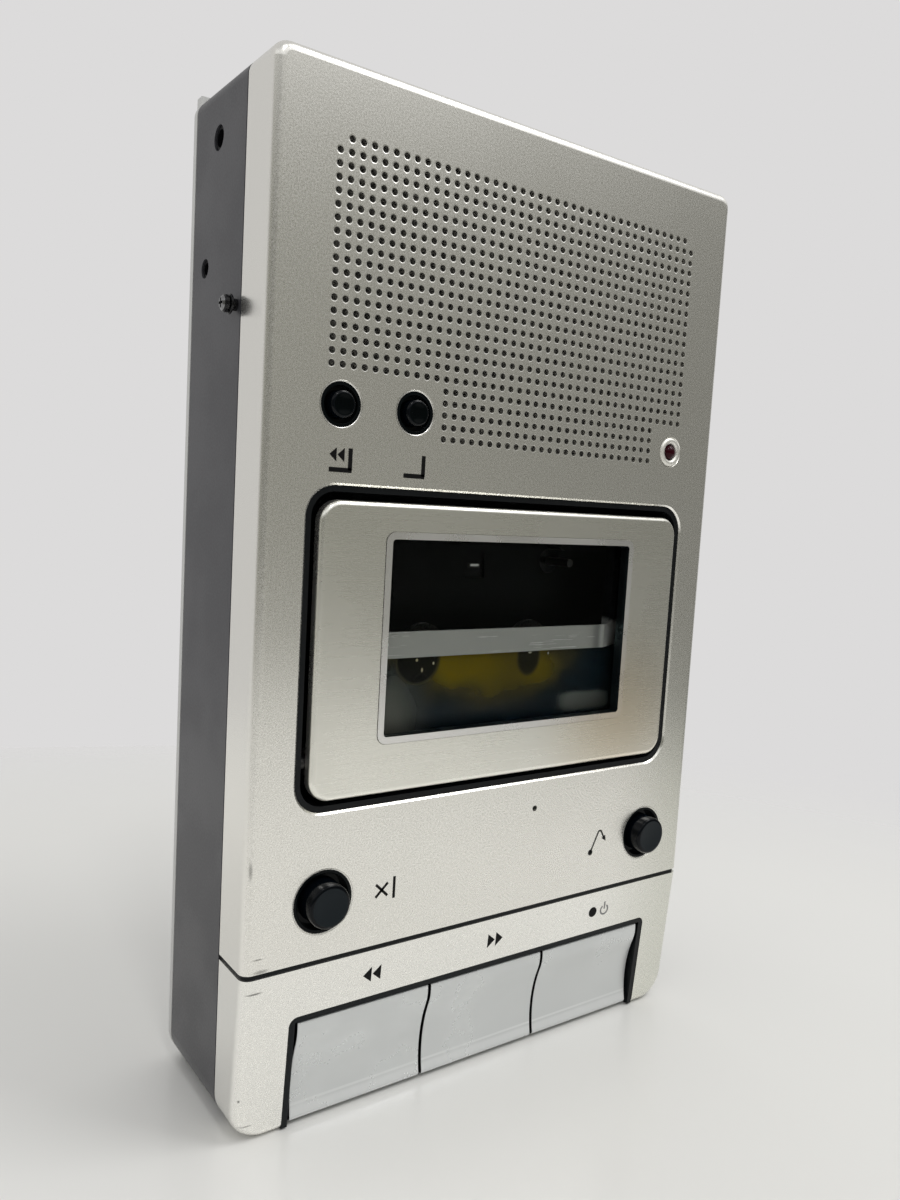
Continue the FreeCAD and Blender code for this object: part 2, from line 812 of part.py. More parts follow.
def divider_strip():
    """Black strip in the gap between the two front shells, with a flange behind them."""
    strip = body("divider_strip")
    lip = sketch(strip, "top", f"{SPLIT_LOW} + fit_gap / 2")
    outer = f"({HALF_WIDTH} - strip_recess)"
    inner = f"({HALF_WIDTH} - wall + fit_gap)"
    bend = "(edge_round - strip_recess)"
    end = "(front_depth - fit_gap)"
    outline(
        lip,
        [
            (f"-{outer} + {bend}", "strip_recess"),
            (f"{outer} - {bend}", "strip_recess", bend, 1),
            (outer, f"strip_recess + {bend}"),
            (outer, end),
            (inner, end),
            (inner, "strip_depth"),
            (f"-{inner}", "strip_depth"),
            (f"-{inner}", end),
            (f"-{outer}", end),
            (f"-{outer}", f"strip_recess + {bend}", bend, 1),
        ],
    )
    pad(strip, lip, "split_gap - fit_gap")
    flange = sketch(strip, "front", "wall + 3 * fit_gap")
    side = f"({HALF_WIDTH} - wall - fit_gap)"
    rectangle(flange, f"-{side}", side, "split_height - strip_flange / 2", "split_height + strip_flange / 2")
    pad(strip, flange, "strip_depth - wall - 3 * fit_gap")
    seat(strip)


def middle_case():
    """Dark frame between the front shells and the back cover, with a tongue into each."""
    case = body("middle_case")
    start = "(front_depth + seam)"
    band = sketch(case, "front", start)
    case_outline(band, "0", "top_corner")
    case_outline(band, "band_wall", "inner_corner")
    pad(case, band, "band_depth")
    for tongue_start, length in (
        ("front_depth - tongue_reach", "tongue_reach + seam"),
        (f"{BACK_START} - seam", "seam + back_depth - wall - fit_gap"),
    ):
        tongue = sketch(case, "front", tongue_start)
        case_outline(tongue, "(wall + fit_gap)", "inner_corner")
        case_outline(tongue, "band_wall", "inner_corner")
        pad(case, tongue, length)
    side = sketch(case, "side", f"-{HALF_WIDTH} + 2 * band_wall")
    circle(side, "high_socket_depth", f"{HEIGHT} - high_socket_drop", "high_socket_hole")
    circle(side, "low_socket_depth", f"{HEIGHT} - low_socket_drop", "low_socket_hole")
    circle(side, "side_screw_depth", f"{HEIGHT} - side_screw_drop", "side_screw_neck + running_gap")
    pocket(case, side, "3 * band_wall")
    seat(case)


def back_cover():
    """Light back shell with screw bosses, board standoffs, foot seats and a bare label field."""
    cover = body("back_cover")
    plate = sketch(cover, "front", BACK_START)
    case_outline(plate, "0", "top_corner")
    block = pad(cover, plate, "back_depth")
    rounding(cover, block, "back_round", lambda edge: near(edge.CenterOfMass.y, DEPTH))
    cavity = sketch(cover, "front", BACK_START)
    case_outline(cavity, "wall", "inner_corner")
    pocket(cover, cavity, "back_depth - wall")
    spots = post_spots(POST_HEIGHTS)
    bosses = [(*spot, "post_radius") for spot in spots]
    columns(cover, f"{POST_END} + fit_gap", "boss_length + wall / 2", bosses)
    stands = [(*spot, "post_radius") for spot in stand_spots()]
    columns(cover, BOARD_BACK, "board_standoff + wall / 2", stands)
    drill(cover, POST_END, f"{DEPTH}", [(*spot, "screw_radius + fit_gap") for spot in spots])
    drill(
        cover,
        f"{DEPTH} - screw_head_depth",
        "screw_head_depth",
        [(*spot, "screw_head_radius + fit_gap") for spot in spots],
    )
    drill(cover, BOARD_BACK, "board_standoff", [(*spot, "screw_radius + fit_gap") for spot in stand_spots()])
    seats = [(*spot, "foot_radius + fit_gap") for spot in feet_spots()]
    drill(cover, f"{DEPTH} - foot_seat", "foot_seat", seats)
    label = sketch(cover, "front", f"{DEPTH} - label_depth")
    half = "(label_width / 2)"
    low = f"({HEIGHT} / 2 - label_height / 2)"
    rectangle(label, f"-{half}", half, low, f"{low} + label_height")
    pocket(cover, label, "label_depth")
    lug = sketch(cover, "front", f"{BACK_START} + seam")
    edge = f"(-{HALF_WIDTH} + lug_inset)"
    rounded(lug, edge, f"{edge} + lug_width", f"{HEIGHT} - wall", f"{HEIGHT} + lug_rise", "lug_rise / 2")
    pad(cover, lug, "back_depth - seam - back_round + lug_rise")
    seat(cover)


def post_spots(heights):
    """Give the places of the case posts at some heights, on both sides."""
    return [(f"{side}{POST_ACROSS}", height) for side in ("-", "") for height in heights]


def feet_spots():
    """Give the places of the four rear feet."""
    heights = ("foot_low", f"{HEIGHT} - foot_drop")
    return [(f"{side}foot_across", height) for side in ("-", "") for height in heights]


def stand_spots():
    """Give the places of the main board's four standoffs."""
    heights = ("standoff_low", f"{HEIGHT} - standoff_drop")
    return [(f"{side}standoff_across", height) for side in ("-", "") for height in heights]


def case_screws():
    """The six slotted screws that hold the case together from behind."""
    screws = body("case_screws")
    spots = post_spots(POST_HEIGHTS)
    start = f"({POST_END} - screw_bite + 2 * fit_gap)"
    head = f"({DEPTH} - screw_head_depth)"
    columns(screws, start, f"{head} - {start}", [(*spot, "screw_radius") for spot in spots])
    columns(screws, head, "screw_head_depth - fit_gap", [(*spot, "screw_head_radius") for spot in spots])
    slots = sketch(screws, "front", f"{DEPTH} - fit_gap - screw_slot")
    reach = "(screw_head_radius * 0.75)"
    for across, height in spots:
        rectangle(
            slots,
            f"{across} - {reach}",
            f"{across} + {reach}",
            f"{height} - screw_slot / 2",
            f"{height} + screw_slot / 2",
        )
    pocket(screws, slots, "screw_slot")
    seat(screws)


def rear_feet():
    """The four rubber feet on the back, for use lying down."""
    feet = body("rear_feet")
    spots = [(*spot, "foot_radius") for spot in feet_spots()]
    columns(feet, f"{DEPTH} - foot_seat", "foot_seat + foot_proud", spots)
    seat(feet)


def side_screw():
    """The cross-head screw that stands out of the left side."""
    screw = body("side_screw")
    profile = sketch(screw, "top")
    outline(
        profile,
        [
            ("-side_screw_proud", "0"),
            ("-side_screw_proud", "side_screw_head / 2"),
            ("-side_screw_proud + side_screw_crown / 2", "side_screw_head"),
            ("-side_screw_proud + side_screw_crown", "side_screw_head"),
            ("-side_screw_proud + side_screw_crown", "side_screw_neck"),
            ("side_screw_length", "side_screw_neck"),
            ("side_screw_length", "0"),
        ],
    )
    revolve(screw, profile, "H_Axis")
    cross = sketch(screw, "side", "-side_screw_proud + side_screw_cross")
    arm = "(side_screw_head * 0.6)"
    thin = "(side_screw_cross / 2)"
    outline(
        cross,
        [
            (f"-{arm}", f"-{thin}"),
            (f"-{thin}", f"-{thin}"),
            (f"-{thin}", f"-{arm}"),
            (thin, f"-{arm}"),
            (thin, f"-{thin}"),
            (arm, f"-{thin}"),
            (arm, thin),
            (thin, thin),
            (thin, arm),
            (f"-{thin}", arm),
            (f"-{thin}", thin),
            (f"-{arm}", thin),
        ],
    )
    pocket(screw, cross, "2 * side_screw_cross")
    seat(screw, f"-{HALF_WIDTH}", f"{HEIGHT} - side_screw_drop", "side_screw_depth")


def speaker():
    """Speaker behind the hole field: cloth, basket, cone with its dust cap, and magnet."""
    cloth = body("speaker_cloth")
    drawing = sketch(cloth, "front", "wall + fit_gap / 2")
    half = "(hole_half_columns * hole_pitch + cloth_margin)"
    low = f"({GRILLE_LOW} - cloth_margin)"
    high = f"({GRILLE_HIGH} + cloth_margin)"
    step = f"({HIGH_BUTTON_HEIGHT} + high_hole_radius + collar_flange + fit_gap)"
    left = "(-high_button_near + high_hole_radius + collar_flange + fit_gap)"
    right = "(lamp_across - lamp_flange - fit_gap)"
    lamp_step = f"({LAMP_HEIGHT} + lamp_flange + fit_gap)"
    outline(
        drawing,
        [
            (left, low),
            (right, low),
            (right, lamp_step),
            (half, lamp_step),
            (half, high),
            (f"-{half}", high),
            (f"-{half}", step),
            (left, step),
        ],
    )
    pad(cloth, drawing, "cloth_thick")
    seat(cloth)
    front = "(wall + fit_gap + cloth_thick + cone_sheet)"
    rim = "(speaker_radius - speaker_flange)"
    back = f"({front} + speaker_depth)"
    turned(
        "speaker_frame",
        [
            (rim, front),
            ("speaker_radius", front),
            ("speaker_radius", f"{front} + basket_sheet"),
            (f"{rim} + basket_sheet", f"{front} + basket_sheet"),
            ("magnet_radius", back),
            ("magnet_radius", f"{back} + magnet_depth"),
            ("0", f"{back} + magnet_depth"),
            ("0", back),
            ("cone_neck", back),
            ("cone_neck", f"{back} - basket_sheet"),
            ("magnet_radius - basket_sheet", f"{back} - basket_sheet"),
        ],
        height=SPEAKER_HEIGHT,
    )
    cone_end = f"({back} - 3 * basket_sheet)"
    turned(
        "speaker_cone",
        [
            ("0", f"{cone_end} - cone_neck / 2", "cone_neck * 1.25", 1),
            ("cone_neck", cone_end),
            (f"{rim} - cone_sheet", f"{front} - cone_sheet"),
            ("speaker_radius - cone_sheet", f"{front} - cone_sheet"),
            ("speaker_radius - cone_sheet", front),
            (f"{rim} - 2 * cone_sheet", front),
            ("cone_neck", f"{cone_end} + cone_sheet"),
            ("0", f"{cone_end} + cone_sheet"),
        ],
        height=SPEAKER_HEIGHT,
    )


def lamp():
    """Record lamp with a domed lens in its raised ring, with a pair of legs to the board."""
    lip = "(lamp_radius + fit_gap)"
    crown = arc_radius(f"lamp_dish - {lip}", "0", "lamp_crown")
    turned(
        "led_bezel",
        [
            (lip, "fit_gap"),
            (lip, "wall + collar_thick"),
            ("lamp_flange", "wall + collar_thick"),
            ("lamp_flange", "wall + fit_gap"),
            ("lamp_dish", "wall + fit_gap"),
            ("lamp_dish", "fit_gap", crown, -1),
        ],
        "lamp_across",
        LAMP_HEIGHT,
    )
    turned(
        "led_lens",
        [
            ("0", "-lamp_proud", "lamp_radius", 1),
            ("lamp_radius", "lamp_radius - lamp_proud"),
            ("lamp_radius", "lamp_body"),
            ("lamp_radius / 2", "lamp_body"),
            ("lamp_radius / 2", "lamp_length"),
            ("0", "lamp_length"),
        ],
        "lamp_across",
        LAMP_HEIGHT,
    )


def microphone():
    """Microphone capsule in its rubber boot, behind the small hole under the door."""
    start = "(wall + fit_gap)"
    turned(
        "microphone",
        [
            ("microphone_hole", start),
            ("microphone_radius + boot_wall", start),
            ("microphone_radius + boot_wall", f"{start} + boot_wall + microphone_length / 2"),
            ("microphone_radius", f"{start} + boot_wall + microphone_length / 2"),
            ("microphone_radius", f"{start} + boot_wall + microphone_length"),
            ("0", f"{start} + boot_wall + microphone_length"),
            ("0", f"{start} + boot_wall"),
            ("microphone_hole", f"{start} + boot_wall"),
        ],
        "microphone_across",
        MICROPHONE_HEIGHT,
    )


@dataclass(frozen=True)
class Button:
    """A push button's name, place and form, all but the name as formulas."""

    name: str
    across: str
    height: str
    hole: str
    radius: str
    top: str
    crown: str


def high_button(name, across):
    """Describe one of the two small upper buttons."""
    return Button(
        name,
        across,
        HIGH_BUTTON_HEIGHT,
        "high_hole_radius",
        "high_cap_radius",
        "-high_cap_proud",
        "high_cap_crown",
    )


def low_button(name, across):
    """Describe one of the two large lower buttons."""
    return Button(
        name,
        across,
        LOW_BUTTON_HEIGHT,
        "low_hole_radius",
        "low_cap_radius",
        "-low_cap_proud",
        "low_cap_crown",
    )


KEYS = (("left", -1), ("middle", 0), ("right", 1))
BUTTONS = (
    high_button("upper_left", "(-high_button_far)"),
    high_button("upper_right", "(-high_button_near)"),
    low_button("lower_left", "(-low_button_left)"),
    low_button("lower_right", "low_button_right"),
)


def button_cap(button):
    """The cap with its stop flange and stem, and the coil spring behind the flange."""
    stop = "(wall + 2 * fit_gap + collar_thick)"
    stop_end = f"({stop} + cap_flange_thick)"
    turned(
        f"{button.name}_button",
        [
            ("0", button.top),
            (f"{button.radius} - {button.crown}", f"{button.top} + {button.crown} / 3", button.crown, 1),
            (button.radius, f"{button.top} + {button.crown} * 4 / 3"),
            (button.radius, stop),
            (f"{button.radius} + cap_flange", stop),
            (f"{button.radius} + cap_flange", stop_end),
            ("stem_radius", stop_end),
            ("stem_radius", "stem_reach"),
            ("0", "stem_reach"),
        ],
        button.across,
        button.height,
    )
    spring = body(f"{button.name}_spring")
    wire = sketch(spring, "top")
    first = f"({stop_end} + spring_wire + fit_gap)"
    circle(wire, f"{button.radius} - 2 * spring_wire", first, "spring_wire")
    coil(spring, wire, f"switch_depth - {first} - spring_wire - fit_gap", "spring_turns")
    seat(spring, button.across, button.height)


def button_collars():
    """The four black collars in the cover, deep cups with a rim, flanged behind and bored for the caps."""
    collars = body("button_collars")
    sleeves = [(button.across, button.height, f"{button.hole} - fit_gap") for button in BUTTONS]
    columns(collars, "fit_gap", "wall + collar_thick", sleeves)
    flanges = [(across, height, f"{radius} + collar_flange") for across, height, radius in sleeves]
    columns(collars, "wall + fit_gap", "collar_thick", flanges)
    bores = [(button.across, button.height, f"{button.radius} + fit_gap") for button in BUTTONS]
    drill(collars, "fit_gap", "wall + collar_thick", bores)
    cups = [(across, height, f"{radius} - collar_rim") for across, height, radius in sleeves]
    hollow = drill(collars, "fit_gap", "collar_sink", cups)
    rounding(
        collars,
        hollow,
        "2 * fit_gap",
        lambda edge: near(edge.CenterOfMass.y, "fit_gap") and hasattr(edge.Curve, "Radius"),
    )
    seat(collars)


def push_switches():
    """The push switches on the two boards: four bored for the buttons' stems, three for the keys."""
    switches = body("push_switches")
    drawing = sketch(switches, "front", "switch_depth")
    half = "(switch_size / 2)"
    for button in BUTTONS:
        rectangle(
            drawing,
            f"{button.across} - {half}",
            f"{button.across} + {half}",
            f"{button.height} - {half}",
            f"{button.height} + {half}",
        )
    pad(switches, drawing, "board_depth - switch_depth")
    small = sketch(switches, "front", "board_depth - key_switch_gap")
    half = "(key_switch_size / 2)"
    low = f"(finger_height - {half})"
    for _, place in KEYS:
        middle = f"({place} * {KEY_PITCH})"
        rectangle(small, f"{middle} - {half}", f"{middle} + {half}", low, f"{low} + key_switch_size")
    pad(switches, small, "key_switch_gap")
    drill(
        switches,
        "switch_depth",
        "switch_bore",
        [(button.across, button.height, "stem_radius + running_gap") for button in BUTTONS],
    )
    seat(switches)


def key_well():
    """Black surround of the keys: rim, back wall and the side walls that carry the axle."""
    well = body("key_well")
    half = "(recess_width / 2 - fit_gap)"
    rim_high = "(recess_height - fit_gap)"
    flank = sketch(well, "side")
    outline(
        flank,
        [
            (f"{lean_at('well_drop')} + fit_gap", "well_drop"),
            ("well_depth", "well_drop"),
            ("well_depth", "well_step"),
            ("well_rear", "well_step"),
            ("well_rear", "well_top"),
            ("well_rim_depth", "well_top"),
            ("well_rim_depth", rim_high),
            (f"{lean_at(rim_high)} + fit_gap", rim_high),
        ],
    )
    block = pad(well, flank, f"2 * {half}", midplane=True)
    rim_top = number(rim_high)
    rounding(
        well,
        block,
        "recess_corner - fit_gap",
        lambda edge: along_depth(edge) and abs(edge.CenterOfMass.z - rim_top) < 1e-4,
    )
    inside = sketch(well, "side")
    ceiling = f"({rim_high} - well_rim)"
    outline(
        inside,
        [
            ("-wall", "-wall"),
            ("well_depth - well_back", "-wall"),
            ("well_depth - well_back", "well_step + well_back"),
            ("well_rear - well_back", "well_step + well_back"),
            ("well_rear - well_back", "well_top + wall"),
            ("well_rim_depth", "well_top + wall"),
            ("well_rim_depth", ceiling),
            ("-wall", ceiling),
        ],
    )
    pocket(well, inside, f"2 * ({half} - well_wall)", midplane=True)
    bores = sketch(well, "side")
    circle(bores, "axle_depth", "axle_height", "axle_radius + running_gap")
    pocket(well, bores, f"3 * {half}", midplane=True)
    windows = sketch(well, "front", "well_depth - 2 * well_back")
    for place in (-1, 0, 1):
        middle = f"({place} * {KEY_PITCH})"
        reach = "(finger_size / 2 + 5 * fit_gap)"
        rectangle(
            windows,
            f"{middle} - {reach}",
            f"{middle} + {reach}",
            f"finger_height - {reach} - fit_gap",
            f"finger_height + {reach}",
        )
    pocket(well, windows, "3 * well_back")
    seat(well)


def arc_radius(rise, run, height):
    """Give the radius of an arc from its chord's rise and run and its height over the chord."""
    return f"((({rise})^2 + ({run})^2) / (8 * {height}) + {height} / 2)"


def key(name, place):
    """One key: an S-curved face plate, two arms with hubs on the axle, and a finger for its switch."""
    owner = body(f"{name}_key")
    middle = f"({place} * {KEY_PITCH})"
    half = f"({KEY_PITCH} / 2 - key_gap / 2)"
    high = "(recess_height - fit_gap - well_rim - key_top_gap)"
    lip = f"({lean_at(high)} + key_lip)"
    crown = f"({lean_at('key_crown_height')} + key_crown_sink)"
    foot = f"({lean_at('key_low')} + key_foot)"
    dip = f"(({crown} + {foot}) / 2 + key_dip)"
    dip_height = "((key_crown_height + key_low) / 2)"
    bend = arc_radius(f"{high} - key_crown_height", f"{crown} - {lip}", "key_crown")
    sweep = arc_radius("key_crown_height - key_low", f"{foot} - {crown}", "key_dip")
    plate = sketch(owner, "side", f"{middle} - {half}")
    outline(
        plate,
        [
            (lip, high, bend, 1),
            (crown, "key_crown_height", sweep, -1),
            (foot, "key_low"),
            (f"{foot} + key_thick", "key_low", sweep, 1),
            (f"{crown} + key_thick", "key_crown_height"),
            (f"{lip} + 1.5 * key_thick", f"{high} - key_thick / 2"),
            (f"{lip} + 1.5 * key_thick", high),
        ],
    )
    face = pad(owner, plate, f"2 * {half}")
    side_front = number(f"{crown} + key_thick")
    end_front = number(f"{foot} + key_edge")
    toed = rounding(
        owner,
        face,
        "key_toe",
        lambda edge: near(edge.CenterOfMass.z, "key_low") and edge.CenterOfMass.y < end_front,
    )

    def front_edge(edge):
        box = edge.BoundBox
        if box.XMax - box.XMin < 1e-4:
            return box.ZMax - box.ZMin > 1 and edge.CenterOfMass.y < side_front
        return near(edge.CenterOfMass.z, high) and edge.CenterOfMass.y < end_front

    rounding(owner, toed, "key_edge", front_edge)
    reach = f"({lip} + key_thick)"
    for side in ("-1", "1"):
        arm = sketch(owner, "side", f"{middle} + {side} * ({half} - key_arm_inset) - key_arm / 2")
        outline(
            arm,
            [
                (f"{dip} + key_thick / 2", dip_height),
                (f"{dip} + 1.3 * key_thick", dip_height),
                ("axle_depth - 0.4 * key_hub", "axle_height - 1.7 * key_hub"),
                ("axle_depth", "axle_height"),
                ("axle_depth - key_hub", "axle_height"),
                (f"{reach} + key_thick / 2", f"{high} + key_top_gap / 2"),
                (reach, f"{high} - key_thick"),
            ],
        )
        pad(owner, arm, "key_arm")
        hub = sketch(owner, "side", f"{middle} + {side} * ({half} - key_arm_inset) - key_arm / 2")
        circle(hub, "axle_depth", "axle_height", "key_hub")
        pad(owner, hub, "key_arm")
    finger = sketch(owner, "front", f"{dip} + key_thick / 2")
    size = "(finger_size / 2)"
    low = f"(finger_height - {size})"
    rectangle(finger, f"{middle} - {size}", f"{middle} + {size}", low, f"{low} + finger_size")
    pad(owner, finger, f"finger_reach - ({dip} + key_thick / 2)")
    bore = sketch(owner, "side")
    circle(bore, "axle_depth", "axle_height", "axle_radius + running_gap")
    pocket(owner, bore, "4 * recess_width", midplane=True)
    seat(owner)


def key_axle():
    """Steel rod that the three keys hang on."""
    axle = body("key_axle")
    section = sketch(axle, "side")
    circle(section, "axle_depth", "axle_height", "axle_radius")
    pad(axle, section, "recess_width - 4 * fit_gap", midplane=True)
    seat(axle)


def cassette_door():
    """Door panel with a window, its light trim and clear pane, and arms with bores for the hinge pins."""
    door = body("cassette_door")
    face = sketch(door, "front", "-door_proud")
    rounded(face, f"-{DOOR_HALF}", DOOR_HALF, DOOR_LOW, DOOR_HIGH, "door_corner")
    panel = pad(door, face, "door_proud + door_back")
    rounding(door, panel, "door_round", lambda edge: near(edge.CenterOfMass.y, "-door_proud"))
    half = "(window_width / 2)"
    window = sketch(door, "front", "-2 * door_proud")
    rounded(window, f"-{half}", half, WINDOW_LOW, WINDOW_HIGH, "window_corner")
    pocket(door, window, "3 * door_proud + door_back")
    seat_cut = sketch(door, "front", "-door_proud")
    rounded(
        seat_cut,
        f"-{half} - trim_width",
        f"{half} + trim_width",
        f"{WINDOW_LOW} - trim_width",
        f"{WINDOW_HIGH} + trim_width",
        "trim_corner",
    )
    pocket(door, seat_cut, "trim_thick - trim_proud")
    for side in ("-1", "1"):
        middle = f"({side} * ({DOOR_HALF} - arm_inset - arm_thick / 2))"
        arm = sketch(door, "side", f"{middle} - arm_thick / 2")
        outline(
            arm,
            [
                ("0", f"{HINGE_HEIGHT} - hinge_boss"),
                ("hinge_depth", f"{HINGE_HEIGHT} - hinge_boss"),
                ("hinge_depth + hinge_boss / 2", f"{HINGE_HEIGHT} + hinge_boss / 2"),
                ("0", f"{HINGE_HEIGHT} + 2 * hinge_boss"),
            ],
        )
        pad(door, arm, "arm_thick")
        hub = sketch(door, "side", f"{middle} - arm_thick / 2")
        circle(hub, "hinge_depth", HINGE_HEIGHT, "hinge_boss")
        pad(door, hub, "arm_thick")
    bores = sketch(door, "side")
    circle(bores, "hinge_depth", HINGE_HEIGHT, "hinge_pin + running_gap")
    pocket(door, bores, "2 * aperture_width", midplane=True)
    seat(door)


def window_trim():
    """Light rim round the window, let into the door and a little proud of it."""
    trim = body("window_trim")
    half = "(window_width / 2)"
    front = "(-door_proud - trim_proud)"
    frame = sketch(trim, "front", front)
    outer = f"({half} + trim_width - fit_gap)"
    rounded(
        frame,
        f"-{outer}",
        outer,
        f"{WINDOW_LOW} - trim_width + fit_gap",
        f"{WINDOW_HIGH} + trim_width - fit_gap",
        "trim_corner",
    )
    rounded(frame, f"-{half}", half, WINDOW_LOW, WINDOW_HIGH, "window_corner")
    pad(trim, frame, "trim_thick")
    seat(trim)


def door_window():
    """Clear pane behind the door's window."""
    pane = body("door_window")
    half = "(window_width / 2)"
    glass = sketch(pane, "front", "door_back + fit_gap / 2")
    edge = f"({half} + pane_margin)"
    low = f"({WINDOW_LOW} - pane_margin)"
    high = f"({WINDOW_HIGH} + pane_margin)"
    rounded(glass, f"-{edge}", edge, low, high, "trim_corner")
    pad(pane, glass, "pane_thick")
    seat(pane)


def hinge_pins():
    """The two steel pins that the door turns on."""
    pins = body("hinge_pins")
    inner = f"({DOOR_HALF} - arm_inset - arm_thick - fit_gap)"
    outer = "(aperture_width / 2 - 2 * fit_gap)"
    for start in (inner, f"-{outer}"):
        section = sketch(pins, "side", start)
        circle(section, "hinge_depth", HINGE_HEIGHT, "hinge_pin")
        pad(pins, section, f"{outer} - {inner}")
    seat(pins)


def cassette_carrier():
    """Plastic cheeks and ledge on the back of the door, which take the cassette."""
    carrier = body("cassette_carrier")
    start = "(door_back + fit_gap / 2)"
    cheeks = sketch(carrier, "front", start)
    high = f"({CARRIER_LOW} + carrier_height)"
    outline(
        cheeks,
        [
            ("-carrier_half", CARRIER_LOW),
            ("carrier_half", CARRIER_LOW),
            ("carrier_half", high),
            (CARRIER_INNER, high),
            (CARRIER_INNER, f"{CARRIER_LOW} + carrier_ledge"),
            (f"-{CARRIER_INNER}", f"{CARRIER_LOW} + carrier_ledge"),
            (f"-{CARRIER_INNER}", high),
            ("-carrier_half", high),
        ],
    )
    pad(carrier, cheeks, f"carrier_back - {start}")
    seat(carrier)


def cassette_holder():
    """Bent aluminium bar that holds the cassette, with slanting wings and two legs, and the smoked plate."""
    holder = body("cassette_holder")
    side = f"({CARRIER_INNER} - fit_gap / 2)"
    wing_end = "(bar_depth + bar_wing)"
    inner_end = f"({wing_end} + bar_sheet / 2)"
    end = "(carrier_back - fit_gap)"
    strip = sketch(holder, "top", BAR_LOW)
    outline(
        strip,
        [
            ("-bar_flat", "bar_depth"),
            ("bar_flat", "bar_depth"),
            (side, wing_end),
            (side, end),
            (f"{side} - bar_sheet", end),
            (f"{side} - bar_sheet", inner_end),
            ("bar_flat", "bar_depth + bar_sheet"),
            ("-bar_flat", "bar_depth + bar_sheet"),
            (f"-{side} + bar_sheet", inner_end),
            (f"-{side} + bar_sheet", end),
            (f"-{side}", end),
            (f"-{side}", wing_end),
        ],
    )
    leg_top = f"({CARRIER_LOW} + carrier_height)"
    bent = pad(holder, strip, f"{leg_top} - {BAR_LOW}")
    rounding(
        holder,
        bent,
        "bar_bend",
        lambda edge: len(edge.Vertexes) == 2
        and abs(edge.BoundBox.ZMax - edge.BoundBox.ZMin) > number("bar_height")
        and (near(edge.CenterOfMass.y, "bar_depth") or near(edge.CenterOfMass.y, wing_end)),
    )
    gap = sketch(holder, "side")
    outline(
        gap,
        [
            ("0", BAR_HIGH),
            ("leg_front - leg_corner", BAR_HIGH, "leg_corner", 1),
            ("leg_front", f"{BAR_HIGH} + leg_corner"),
            ("leg_front", f"{leg_top} + wall"),
            ("0", f"{leg_top} + wall"),
        ],
    )
    pocket(holder, gap, "3 * carrier_half", midplane=True)
    seat(holder)
    pocket_sheet = f"({CARRIER_INNER} - fit_gap / 2)"
    slab(
        "pocket_plate",
        f"-{pocket_sheet}",
        pocket_sheet,
        f"{CARRIER_LOW} + carrier_ledge + fit_gap / 2",
        f"{BAR_LOW} - fit_gap",
        "pocket_depth",
        "pocket_depth + pocket_thick",
    )


def cassette_well():
    """Black walls inside the door's opening, with a rim in the opening and bosses for the chassis."""
    well = body("cassette_well")
    rim = sketch(well, "front", "rim_sink")
    edge = "(aperture_width / 2 - fit_gap)"
    corner = "(aperture_corner - fit_gap)"
    inner_corner = "(aperture_corner - rim_reach)"
    rounded(rim, f"-{edge}", edge, f"{APERTURE_LOW} + fit_gap", f"{APERTURE_HIGH} - fit_gap", corner)
    rounded(rim, f"-{RIM_HALF}", RIM_HALF, RIM_LOW, RIM_HIGH, inner_corner)
    pad(well, rim, "wall + fit_gap + well_flange / 2 - rim_sink")
    for start, length, reach in (
        ("wall + fit_gap", "well_flange / 2", "(rim_reach + well_flange)"),
        ("wall + fit_gap", f"{CHASSIS} - wall - 2 * fit_gap", "(wall - fit_gap)"),
    ):
        drawing = sketch(well, "front", start)
        outer_corner = f"({inner_corner} + {reach})"
        rounded(
            drawing,
            f"-{RIM_HALF} - {reach}",
            f"{RIM_HALF} + {reach}",
            f"{RIM_LOW} - {reach}",
            f"{RIM_HIGH} + {reach}",
            outer_corner,
        )
        rounded(drawing, f"-{RIM_HALF}", RIM_HALF, RIM_LOW, RIM_HIGH, inner_corner)
        pad(well, drawing, length)
    columns(
        well,
        "wall + fit_gap",
        f"{CHASSIS} - wall - 2 * fit_gap",
        [(*spot, "chassis_boss") for spot in chassis_spots()],
    )
    drill(
        well,
        f"{CHASSIS} - screw_bite",
        "screw_bite",
        [(*spot, "pilot_radius") for spot in chassis_spots()],
    )
    bores = sketch(well, "side")
    circle(bores, "hinge_depth", HINGE_HEIGHT, "hinge_pin + running_gap / 2")
    pocket(well, bores, "2 * aperture_width", midplane=True)
    seat(well)


def chassis_spots():
    """Give the places of the four screws that hold the chassis to the cassette well."""
    reach = "(wall + chassis_boss / 4)"
    return [
        (f"{side}chassis_boss_across", height)
        for side in ("-", "")
        for height in (f"{RIM_LOW} - {reach}", f"{RIM_HIGH} + {reach}")
    ]


def reel_holes(radius):
    """Give the two reel spindles' holes with a radius."""
    return [(f"{side}reel_across", REEL_HEIGHT, radius) for side in ("-", "")]


def carriage_slots(plate, start, length):
    """Cut the slots of the tape head's stalk and the carriage's pin, as long as the carriage's travel."""
    drawing = sketch(plate, "front", start)
    half = "(head_stalk / 2 + 3 * fit_gap)"
    low = f"({HEAD_LOW} - carriage_travel)"
    high = f"({HEAD_LOW} + head_height + fit_gap)"
    rectangle(drawing, f"-{half}", half, low, high)
    reach = "(carriage_pin + 3 * fit_gap)"
    rectangle(
        drawing,
        f"{TAIL_ACROSS} - {reach}",
        f"{TAIL_ACROSS} + {reach}",
        f"{PIN_HEIGHT} - carriage_travel - {reach}",
        f"{PIN_HEIGHT} + {reach}",
    )
    pocket(plate, drawing, length)


